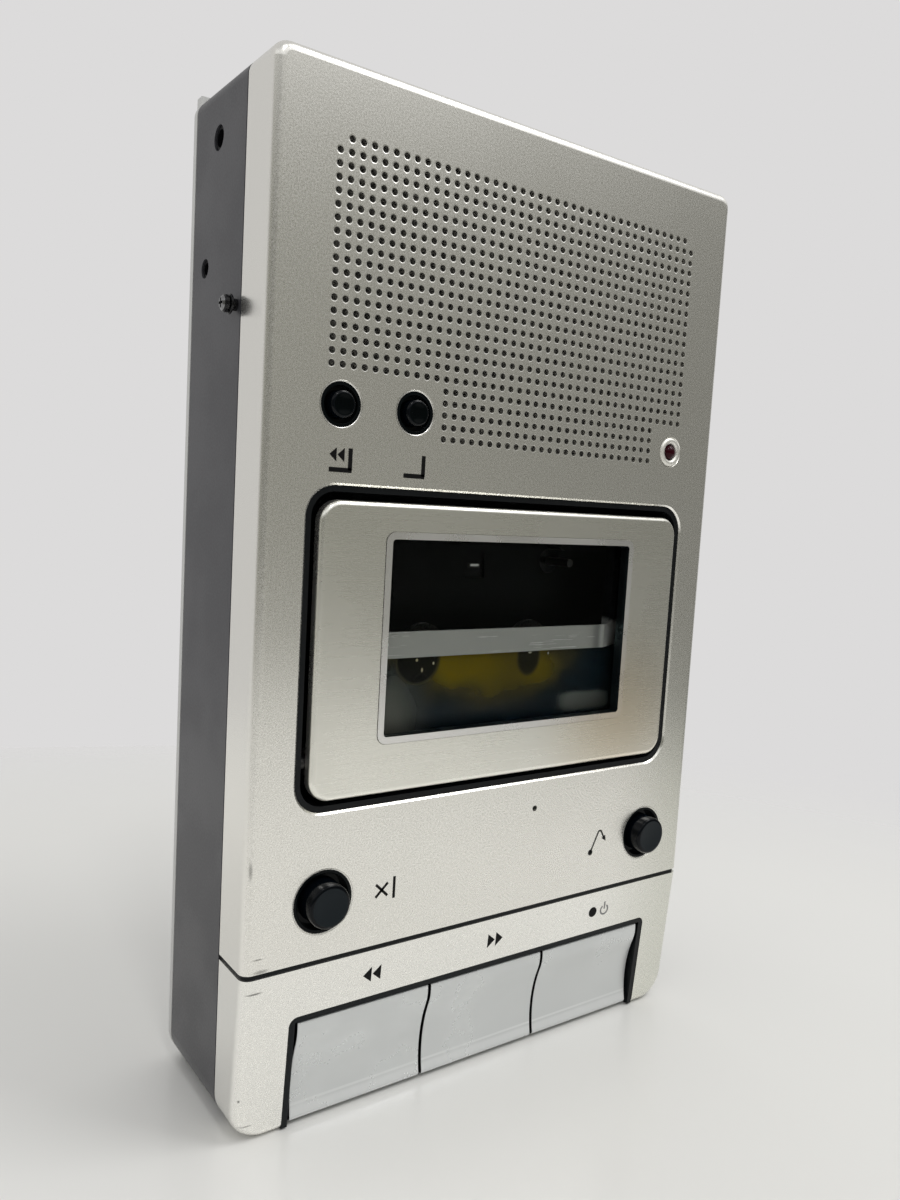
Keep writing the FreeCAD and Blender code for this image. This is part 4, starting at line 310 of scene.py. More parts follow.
class Effects:
    """The effects that several materials use, each a node group built once."""

    grain_edge: Point = (0.3, 0.7)
    brush_sizes: Point = (0.22 * MM, 0.9 * MM)
    brush_lengths: Point = (60.0, 45.0)
    brush_shares: Point = (0.6, 0.4)

    def __init__(self) -> None:
        """Build all the groups."""
        self.grain = self._make("moulded_grain", self._grain, Size=0.4)
        self.brushing = self._make("brushing", self._brushing)
        self.scuffs = self._make("scuffs", self._scuffs, Amount=0.5)
        self.hole_rims = self._make("hole_rims", self._hole_rims)

    def _make(
        self, name: str, fill: Callable[[Graph, bpy.types.Node], object], **inputs: float
    ) -> bpy.types.NodeTree:
        """Make one group with a Place input and a Mask output.

        Args:
            name: Name of the group.
            fill: Adds the nodes and gives the mask.
            **inputs: Its further inputs, with the value that each has at first.

        Returns:
            The group.
        """
        tree = bpy.data.node_groups.new(name, "ShaderNodeTree")
        tree.interface.new_socket(name="Place", in_out="INPUT", socket_type="NodeSocketVector")
        for label, value in inputs.items():
            new = tree.interface.new_socket(name=label, in_out="INPUT", socket_type="NodeSocketFloat")
            new.default_value = value
        tree.interface.new_socket(name="Mask", in_out="OUTPUT", socket_type="NodeSocketFloat")
        graph = Graph(tree)
        mask = fill(graph, graph.node("NodeGroupInput"))
        graph.feed(graph.node("NodeGroupOutput").inputs["Mask"], mask)
        return tree

    def _grain(self, graph: Graph, entry: bpy.types.Node) -> bpy.types.NodeSocket:
        """Make the fine even grain of paint or moulded plastic; Size is in millimetres.

        Args:
            graph: The group's graph.
            entry: The node that gives the group's inputs.

        Returns:
            The mask.
        """
        scaled = graph.node("VectorMath", operation="SCALE")
        graph.feed(scaled.inputs[0], entry.outputs["Place"])
        graph.feed(scaled.inputs["Scale"], graph.math("DIVIDE", 1 / MM, entry.outputs["Size"]))
        noise = graph.node("TexNoise")
        graph.fill(noise, {"Vector": scaled.outputs[0], "Scale": 1.0, "Detail": 2.0})
        return graph.step(noise.outputs["Fac"], *self.grain_edge)

    def _brushing(self, graph: Graph, entry: bpy.types.Node) -> bpy.types.NodeSocket:
        """Make fine and coarse lines that run from side to side.

        Args:
            graph: The group's graph.
            entry: The node that gives the group's inputs.

        Returns:
            The mask.
        """
        layers = [
            graph.noise(entry.outputs["Place"], size, detail=2.0, stretch=(length, 1.0, 1.0))
            for size, length in zip(self.brush_sizes, self.brush_lengths)
        ]
        return graph.sum(layers, self.brush_shares)

    def _scuffs(self, graph: Graph, entry: bpy.types.Node) -> bpy.types.NodeSocket:
        """Make sparse specks and hairlines in worn areas; Amount sets their strength.

        Args:
            graph: The group's graph.
            entry: The node that gives the group's inputs.

        Returns:
            The mask.
        """
        upright, level, worn, specks = (
            cloud.mask(graph, entry.outputs["Place"])
            for cloud in (UPRIGHT_LINES, LEVEL_LINES, WORN_AREAS, SPECKS)
        )
        lines = graph.math("MULTIPLY", graph.math("MAXIMUM", upright, level), worn)
        return graph.math("MULTIPLY", graph.math("MAXIMUM", lines, specks), entry.outputs["Amount"])

    def _hole_rims(self, graph: Graph, entry: bpy.types.Node) -> bpy.types.NodeSocket:
        """Make the height of a face whose speaker holes have a small dished rim.

        Args:
            graph: The group's graph.
            entry: The node that gives the group's inputs.

        Returns:
            The mask.
        """
        field = SpeakerField()
        across, _, up = graph.apart(entry.outputs["Place"])
        up = graph.math("SUBTRACT", up, field.low)
        squares = []
        for value in (across, up):
            cells = graph.math("DIVIDE", value, field.pitch)
            offset = graph.math("SUBTRACT", cells, graph.math("ROUND", cells))
            squares.append(graph.math("MULTIPLY", offset, offset))
        reach = graph.math("SQRT", graph.math("ADD", *squares))
        mask = graph.step(reach, field.hole_radius / field.pitch, field.rim_radius / field.pitch)
        side_reach = graph.math("ABSOLUTE", across)
        outside = [
            graph.math("GREATER_THAN", side_reach, field.half_width),
            graph.math("LESS_THAN", up, -field.pitch / 2),
            graph.math("GREATER_THAN", up, field.height + field.pitch / 2),
        ]
        corners = [
            (side_reach, field.half_width - field.pitch, "GREATER_THAN", field.height - field.pitch / 2)
        ]
        for side, limit, level in field.steps:
            corners.append((graph.math("MULTIPLY", across, side), limit * side, "LESS_THAN", level))
        for value, limit, word, level in corners:
            beyond = graph.math("GREATER_THAN", value, limit)
            outside.append(graph.math("MULTIPLY", beyond, graph.math(word, up, level)))
        for area in outside:
            mask = graph.math("MAXIMUM", mask, area)
        return mask

    def add(self, graph: Graph, group: bpy.types.NodeTree, **values: float) -> bpy.types.NodeSocket:
        """Place a group in a material.

        Args:
            graph: The material's graph.
            group: The shared group.
            **values: Values of its inputs.

        Returns:
            Its mask.
        """
        new = graph.node("Group", node_tree=group)
        graph.fill(new, {"Place": graph.object_place(), **values})
        return new.outputs["Mask"]


@dataclass(frozen=True)
class Patch:
    """A soft patch of another colour on an upright face, in millimetres."""

    middle: Point
    half: Point
    colour: Colour
    strength: float = 1.0
    edge: float = 0.25
    wobble: float = 0.0
    power: float = 2.0
    wobble_size: float = 7.0

    def mask(self, graph: Graph) -> bpy.types.NodeSocket:
        """Make the patch's mask.

        Args:
            graph: The material's graph.

        Returns:
            The mask, from 0 to the patch's strength.
        """
        place = graph.object_place()
        across, _, up = graph.apart(place)
        parts = []
        for value, middle, half in zip((across, up), self.middle, self.half):
            offset = graph.math("DIVIDE", graph.math("SUBTRACT", value, middle * MM), half * MM)
            parts.append(graph.math("POWER", graph.math("ABSOLUTE", offset), self.power))
        reach = graph.math("POWER", graph.math("ADD", *parts), 1 / self.power)
        if self.wobble:
            uneven = graph.math("SUBTRACT", graph.noise(place, self.wobble_size * MM, detail=4.0), 0.5)
            reach = graph.math("ADD", reach, graph.math("MULTIPLY", uneven, self.wobble))
        return graph.step(reach, 1 - self.edge, 1 + self.edge, self.strength, 0.0)


@dataclass(frozen=True)
class Surface:
    """What all finishes share: the name of the material and its main colour."""

    name: str
    colour: Colour

    def make(self, effects: Effects) -> bpy.types.Material:
        """Build the material.

        Args:
            effects: The shared groups.

        Returns:
            The material.
        """
        material = bpy.data.materials.new(self.name)
        material.use_nodes = True
        graph = Graph(material.node_tree)
        shader = graph.node("BsdfPrincipled")
        graph.feed(graph.node("OutputMaterial").inputs["Surface"], shader.outputs[0])
        graph.fill(shader, self.inputs(graph, effects))
        return material

    def inputs(self, graph: Graph, effects: Effects) -> dict[str, object]:
        """Add the nodes of the finish.

        Args:
            graph: The material's graph.
            effects: The shared groups.

        Returns:
            What each of the shader's inputs gets.
        """
        raise NotImplementedError


@dataclass(frozen=True)
class Finish(Surface):
    """A painted, moulded or metal surface with grain, tone changes and marks; grain in millimetres."""

    tone: Colour
    roughness: float = 0.45
    metallic: float = 0.0
    grain_size: float = 0.4
    grain_depth: float = 0.012
    mottle: float = 0.35
    speckle: float = 0.5
    marks: float = 0.0
    mark_colour: Colour = (0.1, 0.1, 0.1)
    reflection: float = 0.5
    brushed: bool = False
    rims: bool = False
    smooth_sides: bool = False
    patches: tuple[Patch, ...] = ()
    spread: Point = (-0.04, 0.06)
    side_grain: tuple[float, float, float, float] = (0.4, 0.9, 0.2, 1.0)

    def inputs(self, graph: Graph, effects: Effects) -> dict[str, object]:
        """Add the grain, the tones and the marks.

        Args:
            graph: The material's graph.
            effects: The shared groups.

        Returns:
            What each of the shader's inputs gets.
        """
        if self.brushed:
            grain = effects.add(graph, effects.brushing)
        else:
            grain = effects.add(graph, effects.grain, Size=self.grain_size)
        if self.smooth_sides:
            grain = graph.math("MULTIPLY", grain, graph.step(graph.facing(1), *self.side_grain))
        cloud = TONES.mask(graph, graph.object_place())
        share = graph.sum((grain, cloud), (self.speckle, 1 - self.speckle))
        colour = graph.blend(graph.math("MULTIPLY", share, self.mottle), self.colour, self.tone)
        if self.marks:
            scuffs = effects.add(graph, effects.scuffs, Amount=self.marks)
            colour = graph.blend(scuffs, colour, self.mark_colour)
        smooth, rough = (self.roughness + change for change in self.spread)
        values = {
            "Base Color": self.patched_colour(graph, colour),
            "Metallic": self.metallic,
            "Roughness": graph.step(share, 0.0, 1.0, smooth, rough),
            "Specular IOR Level": self.reflection,
        }
        if self.grain_depth:
            values["Normal"] = graph.raised(grain, self.grain_depth * MM)
        if self.rims:
            rims = effects.add(graph, effects.hole_rims)
            values["Normal"] = graph.raised(rims, SpeakerField.rim_depth, values["Normal"])
        return values

    def patched_colour(self, graph: Graph, colour: bpy.types.NodeSocket) -> bpy.types.NodeSocket:
        """Add the patches, chips and painted light alike, to the colour.

        Args:
            graph: The material's graph.
            colour: The colour so far.

        Returns:
            The new colour.
        """
        for patch in self.patches:
            colour = graph.blend(patch.mask(graph), colour, patch.colour)
        return colour


@dataclass(frozen=True)
class WindowFinish(Finish):
    """Metal round the cassette window, with painted shade on the walls of the opening."""

    half_width: float = 34.7 * MM
    low: float = 84.4 * MM
    high: float = 126.7 * MM
    wall_shade: Colour = (0.045, 0.06, 0.065)
    wall_facing: float = 0.5

    def patched_colour(self, graph: Graph, colour: bpy.types.NodeSocket) -> bpy.types.NodeSocket:
        """Add the patches and the painted shade on the walls of the opening to the colour.

        Args:
            graph: The material's graph.
            colour: The colour so far.

        Returns:
            The new colour.
        """
        colour = super().patched_colour(graph, colour)
        # The walls of the opening get a dark colour: painted shade of the recess.
        across, _, up = graph.apart(graph.object_place())
        wall = graph.math("LESS_THAN", graph.math("ABSOLUTE", across), self.half_width)
        for word, value, limit in (
            ("GREATER_THAN", up, self.low),
            ("LESS_THAN", up, self.high),
            ("LESS_THAN", graph.facing(1), self.wall_facing),
        ):
            wall = graph.math("MULTIPLY", wall, graph.math(word, value, limit))
        return graph.blend(wall, colour, self.wall_shade)


@dataclass(frozen=True)
class KeyFinish(Finish):
    """Satin keys whose flanks are black."""

    flank: Colour = (0.008, 0.008, 0.009)
    flank_facing: float = 0.8

    def patched_colour(self, graph: Graph, colour: bpy.types.NodeSocket) -> bpy.types.NodeSocket:
        """Add the patches and blacken the flanks."""
        flanks = graph.math("GREATER_THAN", graph.facing(0), self.flank_facing)
        return graph.blend(flanks, super().patched_colour(graph, colour), self.flank)


@dataclass(frozen=True)
class ClearFinish(Surface):
    """Clear plastic pane with faint wiping marks."""

    roughness: Point = (0.02, 0.35)
    index: float = 1.1
    marks: float = 0.12

    def inputs(self, graph: Graph, effects: Effects) -> dict[str, object]:
        """Add the marks and let light through.

        Args:
            graph: The material's graph.
            effects: The shared groups.

        Returns:
            What each of the shader's inputs gets.
        """
        scuffs = effects.add(graph, effects.scuffs, Amount=self.marks)
        return {
            "Base Color": self.colour,
            "Transmission Weight": 1.0,
            "IOR": self.index,
            "Roughness": graph.step(scuffs, 0.0, 1.0, *self.roughness),
        }


@dataclass(frozen=True)
class PatchedFinish(Surface):
    """A glossy dark surface with patches, see-through where it has none; the patches are painted reflections
    and glints, and dark shapes of parts behind.
    """

    patches: tuple[Patch, ...]
    alpha: float = 1.0
    reflection: float = 0.5
    roughness: Point = (0.08, 0.4)
    marks: float = 0.6

    def inputs(self, graph: Graph, effects: Effects) -> dict[str, object]:
        """Lay the patches over the colour.

        Args:
            graph: The material's graph.
            effects: The shared groups.

        Returns:
            What each of the shader's inputs gets.
        """
        colour = self.colour
        cover = 0.0
        for patch in self.patches:
            mask = patch.mask(graph)
            colour = graph.blend(mask, colour, patch.colour)
            cover = graph.math("MAXIMUM", cover, mask)
        scuffs = effects.add(graph, effects.scuffs, Amount=self.marks)
        return {
            "Base Color": colour,
            "Alpha": graph.step(cover, 0.0, 1.0, self.alpha, 1.0),
            "Roughness": graph.step(scuffs, 0.0, 1.0, *self.roughness),
            "Specular IOR Level": self.reflection,
        }


@dataclass(frozen=True)
class WeaveFinish(Surface):
    """Open woven cloth, in millimetres."""

    tone: Colour
    thread: float = 0.32
    depth: float = 0.08
    fuzz_size: float = 0.15
    roughness: Point = (0.8, 0.95)
    sheen: float = 0.3

    def inputs(self, graph: Graph, effects: Effects) -> dict[str, object]:
        """Add the threads.

        Args:
            graph: The material's graph.
            effects: The shared groups.

        Returns:
            What each of the shader's inputs gets.
        """
        across, _, up = graph.apart(graph.object_place())
        turns = [graph.math("MULTIPLY", value, math.pi / (self.thread * MM)) for value in (across, up)]
        waves = [graph.math("ABSOLUTE", graph.math("SINE", turn)) for turn in turns]
        weave = graph.math("MULTIPLY", *waves)
        fuzz = effects.add(graph, effects.grain, Size=self.fuzz_size)
        return {
            "Base Color": graph.blend(weave, self.tone, self.colour),
            "Roughness": graph.step(fuzz, 0.0, 1.0, *self.roughness),
            "Sheen Weight": self.sheen,
            "Normal": graph.raised(weave, self.depth * MM),
        }


CHIP = (0.05, 0.048, 0.045)
# Darker tone of the painted shade laid over the right sides of the bezel and the cover.
PAINTED_RIGHT_SHADE = (0.66, 0.665, 0.59)
# Chips and scratches at the bezel's left corner; the last, large patch is painted shade over the bezel's
# right side.
BEZEL_CHIPS_AND_SHADE = (
    Patch((-61.2, 33.9), (1.5, 0.2), CHIP, 0.7, 0.6, 1.0),
    Patch((-62.8, 10.3), (0.25, 0.3), CHIP, 0.7, 0.6, 1.0),
    Patch((-61.0, 4.0), (1.2, 0.15), CHIP, 0.5, 0.6, 1.0),
    Patch((66.0, 15.0), (20.0, 60.0), PAINTED_RIGHT_SHADE, 0.7, 0.9),
)
# Chips and scratches at the cover's lower left corner; the last, large patch is painted shade over the
# cover's lower right.
COVER_CHIPS_AND_SHADE = (
    Patch((-60.8, 41.2), (0.9, 0.15), CHIP, 0.6, 0.6, 1.0),
    Patch((-60.2, 38.5), (1.4, 0.35), CHIP, 0.5, 0.7, 1.4),
    Patch((-62.9, 60.0), (0.3, 1.6), CHIP, 0.5, 0.7, 1.6),
    Patch((67.0, 56.0), (17.0, 36.0), PAINTED_RIGHT_SHADE, 0.7, 0.9),
)
# A soft, darker yellow-brown patch over the lower right of the door and of its window trim.
DOOR_LOWER_RIGHT_TINT = Patch((34.5, 84.0), (15.0, 15.0), (0.66, 0.5, 0.28), 0.5, 1.0)
# Olive colour of a painted reflection on the smoked plate.
OLIVE_REFLECTION = (0.13, 0.094, 0.004)
SMOKE = (0.003, 0.004, 0.005)
# Patches painted on the smoked plate: a grey haze at the lower left, an olive painted reflection over the
# middle, dark discs for the reel hubs behind ringed by painted highlights, a grey painted reflection at the
# lower right and small painted glints.
SMOKED_REFLECTIONS_AND_HUBS = (
    Patch((-30.0, 86.5), (7.5, 9.5), (0.12, 0.122, 0.1), 0.85, 0.8, 0.5),
    Patch((-1.0, 99.5), (20.5, 10.5), OLIVE_REFLECTION, 0.66, 0.42, 0.7),
    Patch((-11.0, 98.0), (11.0, 4.5), OLIVE_REFLECTION, 0.9, 0.6, 0.5),
    Patch((13.5, 95.5), (5.0, 4.0), OLIVE_REFLECTION, 0.6, 0.6, 0.5),
    Patch((-24.0, 102.0), (8.0, 3.5), OLIVE_REFLECTION, 0.5, 0.6, 0.4),
    Patch((-22.8, 99.8), (6.0, 6.0), (0.034, 0.031, 0.017), 0.8, 0.06),
    Patch((-22.8, 99.8), (5.4, 5.4), SMOKE, 0.85, 0.08),
    Patch((9.2, 98.9), (3.6, 4.6), (0.03, 0.028, 0.014), 0.8, 0.12),
    Patch((9.2, 98.9), (3.1, 4.1), SMOKE, 0.7, 0.15),
    Patch((28.4, 86.9), (8.4, 2.4), (0.11, 0.117, 0.104), 0.95, 0.32, 0.3, 3.5),
    Patch((-23.1, 99.6), (0.3, 0.3), (0.4, 0.36, 0.2), 1.0, 0.5),
    Patch((-21.6, 97.3), (0.22, 0.45), (0.42, 0.38, 0.24), 1.0, 0.5),
    Patch((-18.6, 98.7), (0.2, 0.3), (0.5, 0.46, 0.3), 1.0, 0.5),
    Patch((9.6, 99.9), (0.5, 0.2), (0.34, 0.33, 0.25), 1.0, 0.5),
    Patch((15.4, 99.5), (0.2, 0.3), (0.4, 0.42, 0.42), 1.0, 0.5),
)

# Each finish lists name, colour, tone, roughness, metallic, size and depth of the grain, mottle, speckle and
# marks, as far as they differ from the usual ones; the rest is named.
SILVER_PAINT = Finish(
    "silver_paint", (0.95, 0.935, 0.885), (0.8, 0.785, 0.74), 0.27, 0.95, 0.36, 0.0014, 0.5, 0.92, 0.1,
    rims=True, smooth_sides=True, patches=COVER_CHIPS_AND_SHADE,
)
BEZEL_PAINT = Finish(
    "bezel_paint", (0.95, 0.94, 0.9), (0.88, 0.87, 0.83), 0.28, 0.95, 0.36, 0.0008, 0.35, 0.85, 0.1,
    smooth_sides=True, patches=BEZEL_CHIPS_AND_SHADE,
)
DOOR_SILVER = WindowFinish(
    "brushed_door", (0.95, 0.94, 0.87), (0.84, 0.83, 0.76), 0.27, 0.96, 0.4, 0.003, 0.7, 0.85, 0.06,
    brushed=True, patches=(DOOR_LOWER_RIGHT_TINT,),
)
TRIM_PALE = WindowFinish(
    "pale_trim", (0.86, 0.85, 0.83), (0.78, 0.77, 0.75), 0.26, 0.9, 0.6, 0.0, 0.15, 0.2,
    patches=(DOOR_LOWER_RIGHT_TINT,),
)
LAMP_RING = Finish("lamp_ring", (0.82, 0.81, 0.76), (0.78, 0.77, 0.72), 0.5, 0.9, 0.3, 0.0, 0.4)
LAMP_RED = Finish(
    "lamp_red", (0.024, 0.001, 0.004), (0.016, 0.0008, 0.003), 0.05, 0.0, 0.3, 0.0, reflection=0.15,
)
BAND_PAINT = Finish(
    "band_paint", (0.056, 0.056, 0.062), (0.044, 0.044, 0.049), 0.34, 0.25, 0.5, 0.006, marks=0.15,
)
BACK_SHELL = Finish("back_shell", (0.56, 0.56, 0.545), (0.5, 0.5, 0.485), 0.5, 0.1, 0.6, 0.02, marks=0.15)
GLOSSY_BLACK = Finish(
    "glossy_black", (0.0015, 0.0025, 0.003), (0.002, 0.003, 0.0035), 0.15, 0.0, 0.3, 0.0, reflection=0.1,
)
CAP_SIDE = Finish(
    "cap_side", (0.001, 0.0018, 0.003), (0.0015, 0.0025, 0.004), 0.08, 0.0, 0.3, 0.0, reflection=0.18,
)
CAP_DISC = Finish(
    "cap_disc", (0.001, 0.0018, 0.002), (0.0015, 0.0024, 0.0026), 0.1, 0.0, 0.3, 0.0, reflection=0.06,
)
CAP_TOP = Finish(
    "cap_top", (0.003, 0.0065, 0.009), (0.0055, 0.009, 0.0125), 0.34, 0.0, 0.35, 0.004, marks=0.1,
    reflection=0.18,
)
SATIN_BLACK = Finish(
    "satin_black", (0.004, 0.0055, 0.0065), (0.007, 0.009, 0.01), 0.36, 0.0, 0.4, 0.004, reflection=0.18,
)
SOCKET_BLACK = Finish(
    "socket_black", (0.004, 0.004, 0.005), (0.007, 0.007, 0.008), 0.4, 0.0, 0.4, 0.004, reflection=0.12,
)
SLATE_BLACK = Finish(
    "slate_black", (0.004, 0.005, 0.006), (0.007, 0.008, 0.009), 0.34, 0.0, 0.5, 0.006, reflection=0.2,
)
DECK_BLACK = Finish(
    "deck_black", (0.0012, 0.0018, 0.002), (0.002, 0.003, 0.0032), 0.5, 0.0, 0.4, 0.012, reflection=0.1,
)
HUB_BLACK = Finish("hub_black", (0.006, 0.007, 0.007), (0.012, 0.012, 0.011), 0.25, 0.0, 0.4, 0.004)
# Light bands painted across the keys, under the top edge and over the foot: painted highlights of the curved
# face.
KEY_SATIN = KeyFinish(
    "key_satin", (0.65, 0.665, 0.66), (0.61, 0.625, 0.62), 0.3, 0.5, 0.6, 0.0, 0.5, 0.1,
    patches=(
        Patch((0.0, 30.4), (60.0, 1.5), (0.78, 0.79, 0.78), 0.55, 0.3, 0.0, 8.0),
        Patch((0.0, 28.7), (60.0, 0.22), (0.92, 0.93, 0.93), 0.5, 0.7, 0.2, 8.0),
        Patch((0.0, 4.6), (60.0, 0.25), (0.9, 0.91, 0.91), 0.45, 0.7, 0.3, 8.0),
        Patch((0.0, 2.9), (60.0, 0.9), (0.82, 0.83, 0.83), 0.5, 0.5, 0.2, 8.0),
    ),
)
PRINT_BLACK = Finish(
    "print_black", (0.004, 0.004, 0.004), (0.01, 0.01, 0.01), 0.5, 0.0, 0.2, 0.003, reflection=0.1,
)
PRINT_GREY = Finish("print_grey", (0.17, 0.17, 0.17), (0.22, 0.22, 0.22), 0.5, 0.0, 0.2, 0.004)
RUBBER = Finish("rubber", (0.018, 0.018, 0.018), (0.03, 0.03, 0.03), 0.75, 0.0, 0.5, 0.03, marks=0.2)
# Painted light on the holder: painted highlights on the bent right end and at the foot of its leg, painted
# shade over the leg and beside the bend.
HOLDER_SATIN = Finish(
    "holder_satin", (0.41, 0.41, 0.385), (0.35, 0.35, 0.33), 0.24, 0.42, 0.4, 0.0015, 0.5, 0.8,
    brushed=True,
    patches=(
        Patch((38.2, 103.3), (4.6, 4.2), (0.9, 0.9, 0.89), 1.0, 0.1, 0.0, 8.0),
        Patch((38.2, 119.4), (5.6, 12.8), (0.012, 0.016, 0.02), 0.97, 0.06, 0.0, 8.0),
        Patch((35.6, 107.0), (1.1, 1.1), (0.2, 0.19, 0.14), 0.4, 0.9),
        Patch((32.9, 103.3), (1.3, 8.0), (0.85, 0.85, 0.8), 0.85, 0.7),
        Patch((30.4, 103.3), (1.0, 8.0), (0.2, 0.2, 0.19), 0.4, 0.8),
    ),
)
STEEL = Finish("zinc_steel", (0.58, 0.59, 0.6), (0.45, 0.45, 0.44), 0.34, 1.0, 0.8, 0.006, 0.6, marks=0.2)
DARK_STEEL = Finish("dark_steel", (0.06, 0.06, 0.062), (0.09, 0.09, 0.09), 0.35, 1.0, 0.5, 0.004)
BLACK_STEEL = Finish("black_steel", (0.01, 0.01, 0.012), (0.018, 0.018, 0.018), 0.12, 0.5, 0.3, 0.001)
BLACK_CHROME = Finish("black_chrome", (0.26, 0.26, 0.265), (0.2, 0.2, 0.205), 0.2, 1.0, 0.3, 0.0)
BRASS = Finish("brass", (0.72, 0.53, 0.26), (0.6, 0.42, 0.19), 0.3, 1.0, 0.4, 0.004)
CONE_PAPER = Finish("cone_paper", (0.02, 0.02, 0.021), (0.035, 0.034, 0.033), 0.85, 0.0, 0.6, 0.06)
BOARD = Finish("circuit_board", (0.06, 0.1, 0.035), (0.1, 0.14, 0.05), 0.4, 0.0, 1.6, 0.02, 0.8)
COMPONENT = Finish("component", (0.02, 0.022, 0.025), (0.035, 0.036, 0.038), 0.45, 0.0, 0.4, 0.01)
# A bright bar painted across the dark sensor window: a painted glint of the tape head.
SENSOR_GLINT = PatchedFinish(
    "sensor_window",
    (0.012, 0.012, 0.012),
    (Patch((-1.4, 120.15), (1.25, 0.28), (0.75, 0.75, 0.72), 1.0, 0.2, 0.0, 5.0),),
)
CLEAR_PANE = ClearFinish("clear_pane", (0.96, 0.98, 0.98))
SMOKED_PLATE = PatchedFinish("smoked_plate", (0.005, 0.014, 0.021), SMOKED_REFLECTIONS_AND_HUBS, 0.8, 0.12)
SPEAKER_WEAVE = WeaveFinish("speaker_weave", (0.012, 0.012, 0.013), (0.002, 0.002, 0.002))

DRESS: dict[Surface, tuple[str, ...]] = {
    SILVER_PAINT: ("front_cover",),
    BEZEL_PAINT: ("lower_bezel",),
    DOOR_SILVER: ("cassette_door",),
    TRIM_PALE: ("window_trim",),
    LAMP_RING: ("led_bezel",),
    LAMP_RED: ("led_lens",),
    BAND_PAINT: ("middle_case",),
    BACK_SHELL: ("back_cover",),
    GLOSSY_BLACK: ("button_collars",),
    SATIN_BLACK: ("divider_strip", "key_well", "cassette_carrier"),
    SOCKET_BLACK: ("side_sockets",),
    SLATE_BLACK: ("cassette_well",),
    DECK_BLACK: ("deck_cover", "head_carriage", "pinch_arm", "pinch_roller"),
    HUB_BLACK: ("left_reel_spindle", "right_reel_spindle"),
    KEY_SATIN: ("left_key", "middle_key", "right_key"),
    RUBBER: ("microphone", "drive_belt", "reel_belt"),
    HOLDER_SATIN: ("cassette_holder",),
    STEEL: ("key_axle", "inner_screws", "motor", "solenoid_plunger", "speaker_frame"),
    BLACK_STEEL: ("case_screws", "capstan_bearing"),
    DARK_STEEL: ("chassis_plate", "flywheel", "hinge_pins", "tape_head"),
    BRASS: ("motor_pulley",),
    CONE_PAPER: ("speaker_cone",),
    BOARD: ("main_board", "switch_boards"),
    COMPONENT: ("push_switches", "board_components", "solenoid"),
    SENSOR_GLINT: ("tape_sensor",),
    CLEAR_PANE: ("door_window",),
    SMOKED_PLATE: ("pocket_plate",),
}


def finished(mesh: bmesh.types.BMesh, name: str) -> bpy.types.Mesh:
    """Turn a working mesh into mesh data.

    Args:
        mesh: The working mesh, which is freed.
        name: Name of the data.

    Returns:
        The data.
    """
    data = bpy.data.meshes.new(name)
    mesh.to_mesh(data)
    mesh.free()
    return data


def placed(data: bpy.types.ID) -> bpy.types.Object:
    """Put an object into the scene.

    Args:
        data: Its mesh, lamp or camera, which has its name.

    Returns:
        The object.
    """
    new = bpy.data.objects.new(data.name, data)
    bpy.context.scene.collection.objects.link(new)
    return new


class Workshop:
    """Keeps the frame and the materials, and turns meshes into finished pieces."""

    def __init__(self, frame: dict) -> None:
        """Start with the loaded frame.
        """
        self.frame = frame
        self.effects = Effects()
        self.materials: dict[str, bpy.types.Material] = {}

    def material(self, finish: Surface) -> bpy.types.Material:
        """Give the material of a finish, made once.

        Args:
            finish: One of the finishes.

        Returns:
            The material.
        """
        if finish.name not in self.materials:
            self.materials[finish.name] = finish.make(self.effects)
        return self.materials[finish.name]

    def dress(self, node: str, finish: Surface) -> None:
        """Give a solid of the frame its finish.

        Args:
            node: Name of the solid.
            finish: Its finish.
        """
        solid = self.frame["nodes"][node]
        if not solid.material_slots:
            solid.data.materials.append(None)
        for place in solid.material_slots:
            place.material = self.material(finish)

    def piece(
        self,
        name: str,
        mesh: bmesh.types.BMesh,
        finishes: Sequence[Surface],
        body: Body,
        smooth: float = 35.0,
        replaces: Iterable[str] = (),
    ) -> bpy.types.Object:
        """Finish a mesh as a piece that rides on a body.

        Args:
            name: Name of the piece.
            mesh: Its mesh, which is freed.
            finishes: Its finishes, in the order of the faces' material numbers.
            body: The body that it rides on.
            smooth: Angle in degrees under which edges are shaded smooth.
            replaces: Solids of the frame that it stands for.

        Returns:
            The new object.
        """
        for face in mesh.faces:
            face.smooth = True
        data = finished(mesh, name)
        data.set_sharp_from_angle(angle=math.radians(smooth))
        for finish in finishes:
            data.materials.append(self.material(finish))
        new = placed(data)
        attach(new, body.value)
        if replaces:
            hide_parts(*replaces)
        LOG.info("%s: %d faces, on %s", name, len(data.polygons), body.value)
        return new


def spun(profile: Iterable[Point], across: float, up: float, steps: int) -> bmesh.types.BMesh:
    """Turn a profile about an axis from front to back, all in millimetres.

    Args:
        profile: Points of (radius, depth behind the front plane), from the front to the back.
        across: Place of the axis along X.
        up: Place of the axis along Z.
        steps: Number of steps round the axis.

    Returns:
        The closed mesh.
    """
    mesh = bmesh.new()
    points = [
        mesh.verts.new(((across + radius) * MM, FRONT_PLANE + depth * MM, up * MM))
        for radius, depth in profile
    ]
    for first, second in zip(points, points[1:]):
        mesh.edges.new((first, second))
    bmesh.ops.spin(
        mesh,
        geom=[*mesh.verts, *mesh.edges],
        cent=(across * MM, 0.0, up * MM),
        axis=(0.0, 1.0, 0.0),
        angle=2 * math.pi,
        steps=steps,
        use_merge=True,
        use_duplicate=False,
    )
    bmesh.ops.remove_doubles(mesh, verts=mesh.verts, dist=SAME_SPOT)
    bmesh.ops.recalc_face_normals(mesh, faces=mesh.faces)
    return mesh


